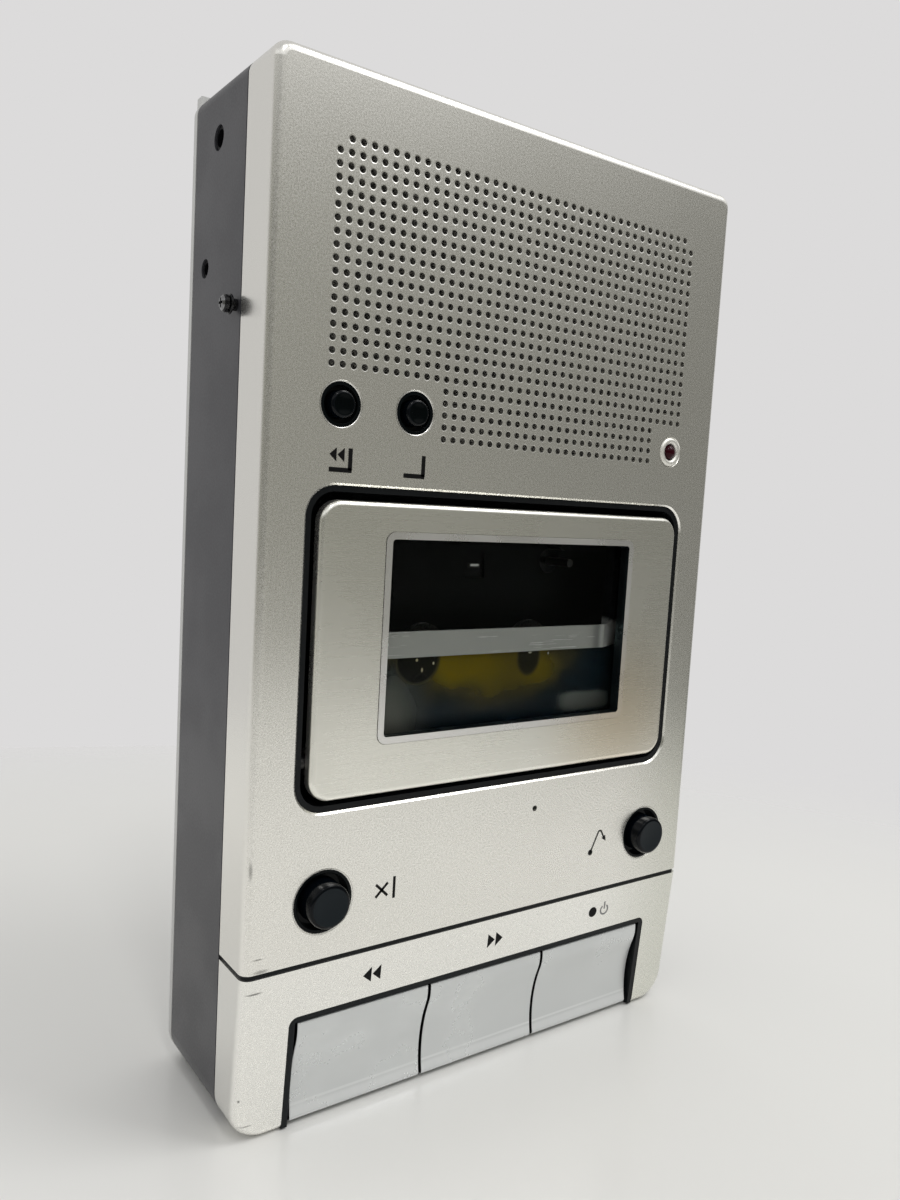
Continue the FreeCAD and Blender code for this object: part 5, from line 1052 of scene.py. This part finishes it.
def soften(mesh: bmesh.types.BMesh, radius: float, sharp: float) -> None:
    """Round the sharp edges of a closed mesh.

    Args:
        mesh: The mesh.
        radius: Size of the rounding in millimetres.
        sharp: Angle in degrees over which an edge counts as sharp.
    """
    inner = (edge for edge in mesh.edges if len(edge.link_faces) == 2)
    bmesh.ops.bevel(
        mesh,
        geom=[edge for edge in inner if edge.calc_face_angle() > math.radians(sharp)],
        offset=radius * MM,
        offset_type="OFFSET",
        segments=SOFT_STEPS,
        profile=0.5,
        affect="EDGES",
        material=-1,
        clamp_overlap=True,
    )


def add_mesh(whole: bmesh.types.BMesh, part: bmesh.types.BMesh) -> None:
    """Add a mesh to another one.

    Args:
        whole: The mesh that grows.
        part: The mesh to add, which is freed.
    """
    data = finished(part, "part")
    whole.from_mesh(data)
    bpy.data.meshes.remove(data)


@dataclass(frozen=True)
class Coil:
    """A coil of round wire on the casing, wound from a free end to a fixed end."""

    name: str
    joint: str
    radius: float
    free_end: Place
    fixed_end: Place
    travel: float
    turns: int
    wire: float = 0.25 * MM
    turn_steps: int = 20
    wire_steps: int = 10

    def build(self, workshop: Workshop) -> None:
        """Wind the coil in place of its solid.

        Args:
            workshop: Makes the piece.
        """
        start = Vector(self.free_end)
        along = Vector(self.fixed_end) - start
        steps = self.turns * self.turn_steps
        rise = (along.length - 2 * self.wire) / steps
        mesh = bmesh.new()
        section = Matrix.Translation((self.radius, self.wire, 0.0))
        bmesh.ops.create_circle(
            mesh, cap_ends=True, segments=self.wire_steps, radius=self.wire, matrix=section
        )
        bmesh.ops.spin(
            mesh,
            geom=[*mesh.verts, *mesh.edges, *mesh.faces],
            cent=(0.0, 0.0, 0.0),
            axis=(0.0, 1.0, 0.0),
            dvec=(0.0, rise, 0.0),
            angle=2 * math.pi * self.turns,
            steps=steps,
        )
        bmesh.ops.recalc_face_normals(mesh, faces=mesh.faces)
        turn = Vector((0.0, 1.0, 0.0)).rotation_difference(along).to_matrix().to_4x4()
        bmesh.ops.transform(mesh, verts=mesh.verts, matrix=Matrix.Translation(start) @ turn)
        name = f"{self.name}_coil"
        replaced = [f"{self.name}_spring"]
        new = workshop.piece(name, mesh, [STEEL], Body.CASING, smooth=60.0, replaces=replaced)
        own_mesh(new)


CARRIAGE_COIL = Coil(
    name="carriage",
    joint="head_slide",
    radius=2.75 * MM,
    free_end=(-3.0 * MM, FRONT_PLANE + 25.0 * MM, 128.75 * MM),
    fixed_end=(-3.0 * MM, FRONT_PLANE + 25.0 * MM, 103.15 * MM),
    travel=2.5 * MM,
    turns=12,
)


@dataclass(frozen=True)
class ButtonKind:
    """What two of the buttons share, in millimetres."""

    up: float
    hole: float
    travel: float
    radius: float
    proud: float
    rim: float
    dish: float
    top_finish: Finish


@dataclass(frozen=True)
class Button:
    """A round cap with a dished top, a stop flange and a stem, and its coil, in millimetres.

    The bowl lists shares of the flat top's radius and of the dish's depth.
    """

    name: str
    body: Body
    across: float
    kind: ButtonKind
    bowl: tuple[Point, ...] = ((0.0, 1.0), (0.45, 0.8), (0.8, 0.3), (0.95, 0.06), (1.0, 0.0))
    flange: float = 0.9
    stop: float = 3.2
    flange_end: float = 4.2
    stem_radius: float = 1.5
    stem_end: float = 12.5
    softening: float = 0.15
    steps: int = 72
    coil_ends: Point = (4.3, 10.7)
    coil_inset: float = 0.5
    coil_turns: int = 4

    def profile(self) -> list[Point]:
        """Give the cap's profile.

        Returns:
            Points from the middle of its top to the end of its stem.
        """
        kind = self.kind
        top = -kind.proud
        flat = kind.radius - kind.rim
        slant = kind.rim * (1 - math.sqrt(0.5))
        outer = kind.radius + self.flange
        return [
            *((flat * reach, top + kind.dish * depth) for reach, depth in self.bowl),
            (kind.radius - slant, top + slant),
            (kind.radius, top + kind.rim),
            (kind.radius, self.stop),
            (outer, self.stop),
            (outer, self.flange_end),
            (self.stem_radius, self.flange_end),
            (self.stem_radius, self.stem_end),
            (0.0, self.stem_end),
        ]

    def build_cap(self, workshop: Workshop) -> None:
        """Build the cap in place of its solid.

        Args:
            workshop: Makes the piece.
        """
        mesh = spun(self.profile(), self.across, self.kind.up, self.steps)
        soften(mesh, self.softening, sharp=40.0)
        flat = (self.kind.radius - self.kind.rim) * MM
        axis = Vector((self.across * MM, 0.0, self.kind.up * MM))
        for face in mesh.faces:
            middle = face.calc_center_median() - axis
            if math.hypot(middle.x, middle.z) < flat and middle.y < FRONT_PLANE:
                face.material_index = 1
        finishes = [CAP_SIDE, self.kind.top_finish]
        replaced = [f"{self.name}_button"]
        name = f"{self.name}_cap"
        workshop.piece(name, mesh, finishes, self.body, smooth=40.0, replaces=replaced)

    def build_coil(self, workshop: Workshop) -> None:
        """Build the coil behind the cap.

        Args:
            workshop: Makes the piece.
        """
        radius = (self.kind.radius - self.coil_inset) * MM
        ends = [(self.across * MM, FRONT_PLANE + depth * MM, self.kind.up * MM) for depth in self.coil_ends]
        travel = self.kind.travel * MM
        Coil(self.name, f"{self.name}_press", radius, *ends, travel, self.coil_turns).build(workshop)


SMALL = ButtonKind(
    up=152.75, hole=4.7, travel=1.6, radius=2.75, proud=1.2, rim=0.6, dish=0.4, top_finish=CAP_DISC
)
LARGE = ButtonKind(
    up=50.5, hole=7.0, travel=2.5, radius=4.8, proud=3.4, rim=0.75, dish=0.2, top_finish=CAP_TOP
)
BUTTONS = (
    Button("upper_left", Body.UPPER_LEFT_CAP, -47.4, SMALL),
    Button("upper_right", Body.UPPER_RIGHT_CAP, -29.9, SMALL),
    Button("lower_left", Body.LOWER_LEFT_CAP, -46.5, LARGE),
    Button("lower_right", Body.LOWER_RIGHT_CAP, 48.5, LARGE),
)


@dataclass(frozen=True)
class HoleLips:
    """Rounded edges of the cover's four button holes.

    The section lists millimetres outside the hole's edge and behind the front plane.
    """

    section: tuple[Point, ...] = (
        (0.05, -0.005), (0.03, -0.015), (-0.06, -0.01), (-0.13, 0.01), (-0.19, 0.045),
        (-0.24, 0.09), (-0.06, 0.09), (-0.06, -0.005), (0.05, -0.005),
    )
    steps: int = 96

    def build(self, workshop: Workshop) -> None:
        """Build the four edges as one piece.

        Args:
            workshop: Makes the piece.
        """
        whole = bmesh.new()
        for button in BUTTONS:
            profile = [(button.kind.hole + offset, depth) for offset, depth in self.section]
            add_mesh(whole, spun(profile, button.across, button.kind.up, self.steps))
        workshop.piece("hole_lips", whole, [SILVER_PAINT], Body.CASING, smooth=50.0)


@dataclass(frozen=True)
class RearFeet:
    """Four rubber feet with rounded edges and a shallow ring, in millimetres."""

    across: float = 44.0
    heights: Point = (24.0, 193.5)
    radius: float = 5.0
    seat: float = 41.9
    end: float = 44.0
    ring: tuple[float, ...] = (3.1, 2.8, 2.1, 1.8)
    ring_depth: float = 0.3
    steps: int = 48

    def build(self, workshop: Workshop) -> None:
        """Build the four feet as one piece.

        Args:
            workshop: Makes the piece.
        """
        floor = self.end - self.ring_depth
        profile = [
            (0.0, self.seat),
            (self.radius, self.seat),
            (self.radius, self.end),
            *zip(self.ring, (self.end, floor, floor, self.end)),
            (0.0, self.end),
        ]
        whole = bmesh.new()
        for across in (-self.across, self.across):
            for up in self.heights:
                foot = spun(profile, across, up, self.steps)
                soften(foot, radius=0.3, sharp=60.0)
                add_mesh(whole, foot)
        workshop.piece(
            "rubber_feet", whole, [RUBBER], Body.CASING, smooth=40.0, replaces=["rear_feet"]
        )


@dataclass(frozen=True)
class SideScrew:
    """Glossy cross-head screw with a washer and a sleeve, out of the left side, in millimetres."""

    side: float = -64.0
    depth: float = 14.6
    up: float = 171.1
    proud: float = 3.2
    top: float = 1.064
    crown: float = 1.505
    dome: float = 0.35
    bright_end: float = 0.3325
    head: float = 1.75
    head_length: float = 1.35
    shoulder: float = 0.3
    bevel: float = 0.12
    core: float = 0.78
    gap: float = 0.22
    collar: float = 2.0
    collar_length: float = 0.5
    sleeve: float = 1.2
    clearance: float = 0.02
    length: float = 9.0
    cross: float = 0.95
    arm: float = 0.26
    recess: float = 0.7
    taper: float = 0.45
    steps: int = 48

    def profile(self) -> list[Point]:
        """Give the screw's profile.

        Returns:
            Points of (radius, distance behind the head's top).
        """
        start = self.head_length + self.gap
        end = start + self.collar_length
        foot = self.proud - self.clearance
        return [
            (self.top, 0.0),
            (self.crown, self.dome),
            (self.head, self.dome + self.shoulder),
            (self.head, self.head_length - self.bevel),
            (self.head - self.bevel, self.head_length),
            (self.core, self.head_length),
            (self.core, start),
            (self.collar - self.bevel, start),
            (self.collar, start + self.bevel),
            (self.collar, end - self.bevel),
            (self.collar - self.bevel, end),
            (self.sleeve, end),
            (self.sleeve, foot),
            (self.core, foot),
            (self.core, self.proud + self.length),
            (0.0, self.proud + self.length),
        ]

    def build(self, workshop: Workshop) -> None:
        """Build the screw in place of its solid.

        Args:
            workshop: Makes the piece.
        """
        mesh = spun(self.profile(), 0.0, 0.0, self.steps)
        self._recess(mesh)
        for face in mesh.faces:
            if face.calc_center_median().y < FRONT_PLANE + self.bright_end * MM:
                face.material_index = 1
        outwards = Matrix.Rotation(-math.pi / 2, 4, "Z")
        bmesh.ops.translate(mesh, verts=mesh.verts, vec=(0.0, -FRONT_PLANE, 0.0))
        bmesh.ops.transform(mesh, verts=mesh.verts, matrix=outwards)
        target = ((self.side - self.proud) * MM, FRONT_PLANE + self.depth * MM, self.up * MM)
        bmesh.ops.translate(mesh, verts=mesh.verts, vec=target)
        finishes = [BLACK_STEEL, BLACK_CHROME]
        workshop.piece(
            "cross_screw", mesh, finishes, Body.CASING, replaces=["side_screw"]
        )

    def _recess(self, mesh: bmesh.types.BMesh) -> None:
        """Close the head's open top with a face that has a cross-shaped recess.

        Args:
            mesh: The turned screw, open at its head.
        """
        rim = [edge for edge in mesh.edges if edge.is_boundary]
        top = []
        for turn in range(4):
            angle = turn * math.pi / 2
            along = Vector((math.cos(angle), 0.0, math.sin(angle)))
            left = Vector((-along.z, 0.0, along.x))
            end = along * self.cross
            for corner in (end - left * self.arm, end + left * self.arm, (along + left) * self.arm):
                top.append(mesh.verts.new(corner * MM + Vector((0.0, FRONT_PLANE, 0.0))))
        outline = [mesh.edges.new(pair) for pair in zip(top, [*top[1:], top[0]])]
        bmesh.ops.triangle_fill(mesh, edges=[*rim, *outline], use_beauty=True)
        inner = bmesh.ops.extrude_edge_only(mesh, edges=outline)
        sunk = [part for part in inner["geom"] if isinstance(part, bmesh.types.BMVert)]
        for vert in sunk:
            vert.co = Vector((vert.co.x * self.taper, vert.co.y + self.recess * MM, vert.co.z * self.taper))
        floor = [edge for edge in mesh.edges if edge.is_boundary]
        bmesh.ops.contextual_create(mesh, geom=floor)
        bmesh.ops.recalc_face_normals(mesh, faces=mesh.faces)


@dataclass(frozen=True)
class SpeakerCloth:
    """Black woven cloth stretched behind the speaker holes."""

    half: float = 52.0 * MM
    low: float = 146.0 * MM
    high: float = 205.0 * MM
    step_left: float = -23.5 * MM
    step_left_up: float = 159.2 * MM
    step_right: float = 43.3 * MM
    step_right_up: float = 155.45 * MM
    depth: float = 2.1 * MM
    thick: float = 0.2 * MM
    sag: float = 0.04 * MM
    columns: int = 10
    rows: int = 6

    def build(self, workshop: Workshop) -> None:
        """Build the cloth in place of its solid.

        Args:
            workshop: Makes the piece.
        """
        mesh = bmesh.new()
        corners = [
            (self.step_left, self.low),
            (self.step_right, self.low),
            (self.step_right, self.step_right_up),
            (self.half, self.step_right_up),
            (self.half, self.high),
            (-self.half, self.high),
            (-self.half, self.step_left_up),
            (self.step_left, self.step_left_up),
        ]
        mesh.faces.new([mesh.verts.new((across, FRONT_PLANE + self.depth, up)) for across, up in corners])
        area = sum(face.calc_area() for face in mesh.faces)
        self._cut(mesh, 0, (self.step_left, self.step_right), (-self.half, self.half), self.columns)
        self._cut(mesh, 2, (self.step_left_up, self.step_right_up), (self.low, self.high), self.rows)
        rim = {vert for edge in mesh.edges if edge.is_boundary for vert in edge.verts}
        for vert in mesh.verts:
            if vert not in rim:
                vert.co.y += self.sag
        bmesh.ops.recalc_face_normals(mesh, faces=mesh.faces)
        cloth = workshop.piece(
            "woven_cloth", mesh, [SPEAKER_WEAVE], Body.CASING, replaces=["speaker_cloth"]
        )
        thicken = cloth.modifiers.new("thickness", "SOLIDIFY")
        thicken.thickness = self.thick
        thicken.offset = 0.0

    def _cut(self, mesh: bmesh.types.BMesh, axis: int, spots: Point, ends: Point, count: int) -> None:
        """Divide the faces of a mesh across an axis.

        Args:
            mesh: The mesh.
            axis: 0 for X, 2 for Z.
            spots: Two places where it is cut.
            ends: Where it starts and ends along the axis.
            count: Number of even parts that it is cut into as well.
        """
        normal = Vector((0.0, 0.0, 0.0))
        normal[axis] = 1.0
        start, end = ends
        for spot in (*spots, *(start + (end - start) * number / count for number in range(1, count))):
            everything = [*mesh.verts, *mesh.edges, *mesh.faces]
            bmesh.ops.bisect_plane(
                mesh, geom=everything, plane_co=normal * spot, plane_no=normal, dist=SAME_SPOT
            )


class Symbol:
    """Flat print of generic function symbols on the silver face."""

    thick: float = 0.03 * MM
    split: float = 36.95 * MM
    lean: float = 2.9 * MM
    dot_steps: int = 32
    arc_steps: int = 24

    def __init__(self) -> None:
        """Start with an empty print, drawn in the XZ plane."""
        self.mesh = bmesh.new()

    def shape(self, *corners: Point) -> None:
        """Add a filled outline with its corners in millimetres, across and up."""
        self.mesh.faces.new([self.mesh.verts.new((across * MM, 0.0, up * MM)) for across, up in corners])

    def bar(self, start: Point, end: Point, width: float) -> None:
        """Add a straight stroke.

        Args:
            start: Where it starts, in millimetres.
            end: Where it ends.
            width: Its width.
        """
        first = Vector(start)
        last = Vector(end)
        run = (last - first).normalized()
        side = Vector((-run.y, run.x)) * width / 2
        self.shape(first - side, last - side, last + side, first + side)

    def dot(self, middle: Point, radius: float) -> None:
        """Add a filled circle.

        Args:
            middle: Its middle, in millimetres.
            radius: Its radius.
        """
        upright = Matrix.Rotation(math.pi / 2, 4, "X")
        place = Matrix.Translation((middle[0] * MM, 0.0, middle[1] * MM)) @ upright
        bmesh.ops.create_circle(
            self.mesh, cap_ends=True, segments=self.dot_steps, radius=radius * MM, matrix=place
        )

    def arc(self, middle: Point, radius: float, width: float, start: float, sweep: float) -> None:
        """Add a curved stroke.

        Args:
            middle: Its middle, in millimetres.
            radius: Its radius.
            width: Its width.
            start: Angle in degrees where it starts, from the right and counter-clockwise.
            sweep: Angle in degrees that it runs.
        """
        first = math.radians(start)
        across = Vector((math.cos(first), 0.0, math.sin(first)))
        centre = Vector((middle[0] * MM, 0.0, middle[1] * MM))
        reaches = (radius - width / 2, radius + width / 2)
        ends = [self.mesh.verts.new(centre + across * reach * MM) for reach in reaches]
        bmesh.ops.spin(
            self.mesh,
            geom=[*ends, self.mesh.edges.new(ends)],
            cent=centre,
            axis=(0.0, -1.0, 0.0),
            angle=math.radians(sweep),
            steps=self.arc_steps,
            use_merge=False,
            use_duplicate=False,
        )

    def printed(self, leaning: bool) -> bmesh.types.BMesh:
        """Lay the print on the face and give it a thickness.

        Args:
            leaning: Whether it lies on the lower bezel, which leans back.

        Returns:
            The finished mesh.
        """
        bmesh.ops.recalc_face_normals(self.mesh, faces=self.mesh.faces)
        for face in self.mesh.faces:
            if face.normal.y > 0:
                face.normal_flip()
        for vert in self.mesh.verts:
            back = self.lean * (self.split - vert.co.z) / self.split if leaning else 0.0
            vert.co.y = FRONT_PLANE + back
        raised = bmesh.ops.extrude_face_region(self.mesh, geom=list(self.mesh.faces))
        moved = [part for part in raised["geom"] if isinstance(part, bmesh.types.BMVert)]
        bmesh.ops.translate(self.mesh, verts=moved, vec=(0.0, -self.thick, 0.0))
        bmesh.ops.recalc_face_normals(self.mesh, faces=self.mesh.faces)
        return self.mesh


@dataclass(frozen=True)
class Print:
    """One printed symbol: each stroke is a way to draw and its values, in millimetres."""

    name: str
    leaning: bool
    strokes: tuple[tuple, ...]
    finish: Finish = PRINT_BLACK

    def build(self, workshop: Workshop) -> None:
        """Draw the strokes and build the piece.

        Args:
            workshop: Makes the piece.
        """
        symbol = Symbol()
        for draw, *values in self.strokes:
            draw(symbol, *values)
        workshop.piece(self.name, symbol.printed(self.leaning), [self.finish], Body.CASING)


STROKE = 0.95
THIN_STROKE = 0.45
CROSS_STROKE = 0.6
UPRIGHT_STROKE = 0.65
PRINTS = (
    Print("rewind_mark", False, (
        (Symbol.shape, (-49.6, 142.9), (-48.0, 141.5), (-48.0, 144.3)),
        (Symbol.shape, (-47.8, 142.9), (-46.2, 141.5), (-46.2, 144.3)),
        (Symbol.bar, (-44.85, 144.3), (-44.85, 139.9), STROKE),
        (Symbol.bar, (-49.6, 139.9), (-44.45, 139.9), STROKE),
    )),
    Print("bracket_mark", False, (
        (Symbol.bar, (-27.27, 144.1), (-27.27, 139.75), STROKE),
        (Symbol.bar, (-32.1, 139.75), (-26.87, 139.75), STROKE),
    )),
    Print("erase_mark", False, (
        (Symbol.bar, (-33.75, 48.8), (-30.75, 51.7), CROSS_STROKE),
        (Symbol.bar, (-33.75, 51.7), (-30.75, 48.8), CROSS_STROKE),
        (Symbol.bar, (-29.1, 47.9), (-29.1, 52.8), UPRIGHT_STROKE),
    )),
    Print("hook_mark", False, (
        (Symbol.dot, (30.0, 48.1), 0.75),
        (Symbol.bar, (30.0, 48.1), (32.35, 53.0), THIN_STROKE),
        (Symbol.arc, (32.95, 52.75), 0.65, THIN_STROKE, 160.0, -140.0),
        (Symbol.bar, (33.55, 53.0), (34.4, 51.5), THIN_STROKE),
        (Symbol.shape, (35.2, 50.4), (33.7, 51.3), (34.9, 52.0)),
    )),
    Print("key_marks", True, (
        (Symbol.shape, (-35.6, 31.25), (-33.5, 29.5), (-33.5, 33.0)),
        (Symbol.shape, (-33.2, 31.25), (-31.1, 29.5), (-31.1, 33.0)),
        (Symbol.shape, (-1.4, 29.7), (0.7, 31.45), (-1.4, 33.2)),
        (Symbol.shape, (1.0, 29.7), (3.1, 31.45), (1.0, 33.2)),
    )),
    Print("record_mark", True, ((Symbol.dot, (32.9, 31.5), 1.35),)),
    Print("standby_mark", True, (
        (Symbol.arc, (37.0, 31.4), 1.25, THIN_STROKE, 125.0, 290.0),
        (Symbol.bar, (37.0, 31.6), (37.0, 33.6), THIN_STROKE),
    ), PRINT_GREY),
)


@dataclass(frozen=True)
class Studio:
    """Pale floor, soft lamps, world and the camera at the photograph's angle.

    The edges are where a part of the room starts and ends, as shares of a direction's length.
    """

    table_radius: float = 0.8
    table_steps: int = 96
    table_roughness: float = 0.22
    table_colours: tuple[Colour, Colour] = ((0.74, 0.735, 0.71), (0.71, 0.705, 0.68))
    cloud_size: float = 0.15
    floor_middle: Place = (-0.15, -0.15, 0.0)
    floor_edge: Point = (0.34, 0.56)
    wall_way: Point = (0.327, 0.945)
    wall_edge: Point = (0.278, 0.29)
    backdrop: Colour = (0.716, 0.708, 0.708)
    side_colour: Colour = (0.56, 0.555, 0.55)
    room_colour: Colour = (0.195, 0.193, 0.165)
    right_colour: Colour = (0.135, 0.134, 0.118)
    high_colour: Colour = (0.86, 0.86, 0.86)
    ceiling_colour: Colour = (0.5, 0.5, 0.5)
    ground_colour: Colour = (0.82, 0.82, 0.8)
    side_edge: Point = (-0.25, 0.35)
    ground_edge: Point = (-0.36, -0.2)
    right_edge: Point = (0.5, 0.78)
    ceiling_edge: Point = (0.6, 0.8)
    high_edge: Point = (0.37, 0.47)
    shade_way: Point = (-0.58, -0.81)
    shade_edge: Point = (0.8, 0.94)
    shade: float = 0.25
    ambient: float = 0.8
    lamp_aim: Place = (0.0, 0.0, 0.1)
    lens: float = 28.65
    sensor: float = 36.0
    clip: Point = (0.005, 20.0)
    camera_place: Place = (-139.64 * MM, -190.47 * MM, 134.21 * MM)
    camera_right: Place = (0.81487, -0.57691, 0.05629)
    camera_up: Place = (0.01155, 0.11324, 0.99350)

    def build(self) -> None:
        """Set up the whole studio."""
        self._floor()
        self._world()
        self._lamp("key_lamp", place=(0.5, -0.45, 1.05), size=0.45, power=4.2)
        self._lamp("ceiling_lamp", place=(-0.17, -0.55, 0.95), size=0.12, power=1.0)
        self._camera()
        bpy.context.scene.view_settings.view_transform = "Standard"

    def _floor(self) -> None:
        """Lay a round pale table top that fades into the backdrop."""
        mesh = bmesh.new()
        bmesh.ops.create_circle(mesh, cap_ends=True, segments=self.table_steps, radius=self.table_radius)
        floor = placed(finished(mesh, "table_top"))
        floor.data.materials.append(self._table_material())

    def _table_material(self) -> bpy.types.Material:
        """Make the table's pale finish, which ends round the object and at the wall.

        Returns:
            The material.
        """
        material = bpy.data.materials.new("table_white")
        material.use_nodes = True
        graph = Graph(material.node_tree)
        place = graph.object_place()
        colour = graph.blend(graph.noise(place, self.cloud_size, detail=2.0), *self.table_colours)
        shader = graph.node("BsdfPrincipled")
        graph.fill(shader, {"Roughness": self.table_roughness, "Base Color": colour})
        distance = graph.node("VectorMath", operation="DISTANCE")
        graph.feed(distance.inputs[0], place)
        graph.feed(distance.inputs[1], self.floor_middle)
        around = graph.step(distance.outputs["Value"], *self.floor_edge)
        behind = graph.step(graph.sum(graph.apart(place)[:2], self.wall_way), *self.wall_edge)
        gone = graph.math("MAXIMUM", around, behind)
        clear = graph.node("BsdfTransparent").outputs[0]
        surface = self._choice(graph, gone, shader.outputs[0], clear)
        graph.feed(graph.node("OutputMaterial").inputs["Surface"], surface)
        return material

    def _world(self) -> None:
        """Light the object evenly, and show the gloss a room that has a darker part in front."""
        world = bpy.data.worlds.new("room")
        world.use_nodes = True
        bpy.context.scene.world = world
        graph = Graph(world.node_tree)
        rays = graph.node("LightPath")
        mirrored = graph.math("MAXIMUM", rays.outputs["Is Glossy Ray"], rays.outputs["Is Transmission Ray"])
        plain, shown, seen = (
            self._background(graph, colour, strength)
            for colour, strength in (
                ((1.0, 1.0, 1.0), self.ambient),
                (self.backdrop, 1.0),
                (self._room(graph), 1.0),
            )
        )
        first = self._choice(graph, mirrored, plain, seen)
        last = self._choice(graph, rays.outputs["Is Camera Ray"], first, shown)
        graph.feed(graph.node("OutputWorld").inputs["Surface"], last)

    def _room(self, graph: Graph) -> bpy.types.NodeSocket:
        """Colour the room by direction: pale ground, side and height, darker in front.

        Args:
            graph: The world's graph.

        Returns:
            The colour.
        """
        across, ahead, rise = graph.apart(graph.node("TexCoord").outputs["Generated"])
        low = graph.blend(graph.step(across, *self.right_edge), self.room_colour, self.right_colour)
        high = graph.blend(graph.step(rise, *self.ceiling_edge), self.high_colour, self.ceiling_colour)
        front = graph.blend(graph.step(rise, *self.high_edge), low, high)
        toward = graph.step(graph.sum((across, ahead), self.shade_way), *self.shade_edge)
        front = graph.blend(graph.math("MULTIPLY", toward, self.shade), front, (0.0, 0.0, 0.0))
        behind = graph.step(ahead, *self.side_edge, 1.0, 0.0)
        upper = graph.blend(behind, self.side_colour, front)
        return graph.blend(graph.step(rise, *self.ground_edge), self.ground_colour, upper)

    def _background(self, graph: Graph, colour: object, strength: float) -> bpy.types.NodeSocket:
        """Make one even light of the world.

        Args:
            graph: The world's graph.
            colour: Its colour.
            strength: Its strength.

        Returns:
            The shader.
        """
        new = graph.node("Background")
        graph.fill(new, {"Color": colour, "Strength": strength})
        return new.outputs[0]

    def _choice(self, graph: Graph, share: object, first: object, second: object) -> bpy.types.NodeSocket:
        """Mix two shaders.

        Args:
            graph: The graph.
            share: Share of the second shader.
            first: A shader.
            second: A shader.

        Returns:
            The mixed shader.
        """
        new = graph.node("MixShader")
        for socket, value in zip(new.inputs, (share, first, second)):
            graph.feed(socket, value)
        return new.outputs[0]

    def _lamp(self, name: str, place: Place, size: float, power: float) -> None:
        """Hang a soft square lamp that points at the object.

        Args:
            name: Its name.
            place: Where it hangs.
            size: Its side.
            power: Its power in watts.
        """
        light = bpy.data.lights.new(name, "AREA")
        light.size = size
        light.energy = power
        turn = (Vector(self.lamp_aim) - Vector(place)).to_track_quat("-Z", "Y")
        placed(light).matrix_world = Matrix.Translation(place) @ turn.to_matrix().to_4x4()

    def _camera(self) -> None:
        """Place the camera."""
        data = bpy.data.cameras.new("photo_camera")
        data.sensor_fit = "VERTICAL"
        data.sensor_height = self.sensor
        data.sensor_width = self.sensor
        data.lens = self.lens
        data.clip_start, data.clip_end = self.clip
        camera = placed(data)
        right = Vector(self.camera_right)
        up = Vector(self.camera_up)
        turn = Matrix((right, up, right.cross(up))).transposed().to_4x4()
        camera.matrix_world = Matrix.Translation(self.camera_place) @ turn
        bpy.context.scene.camera = camera


def main() -> None:
    """Dress the frame, build the further pieces and set up the studio."""
    logging.basicConfig(level=logging.INFO, format="%(message)s")
    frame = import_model()
    workshop = Workshop(frame)
    for finish, nodes in DRESS.items():
        for node in nodes:
            workshop.dress(node, finish)
    for button in BUTTONS:
        button.build_cap(workshop)
    for button in BUTTONS:
        button.build_coil(workshop)
    for part in (CARRIAGE_COIL, HoleLips(), SpeakerCloth(), RearFeet(), SideScrew(), *PRINTS):
        part.build(workshop)
    Studio().build()


if __name__ == "__main__":
    main()
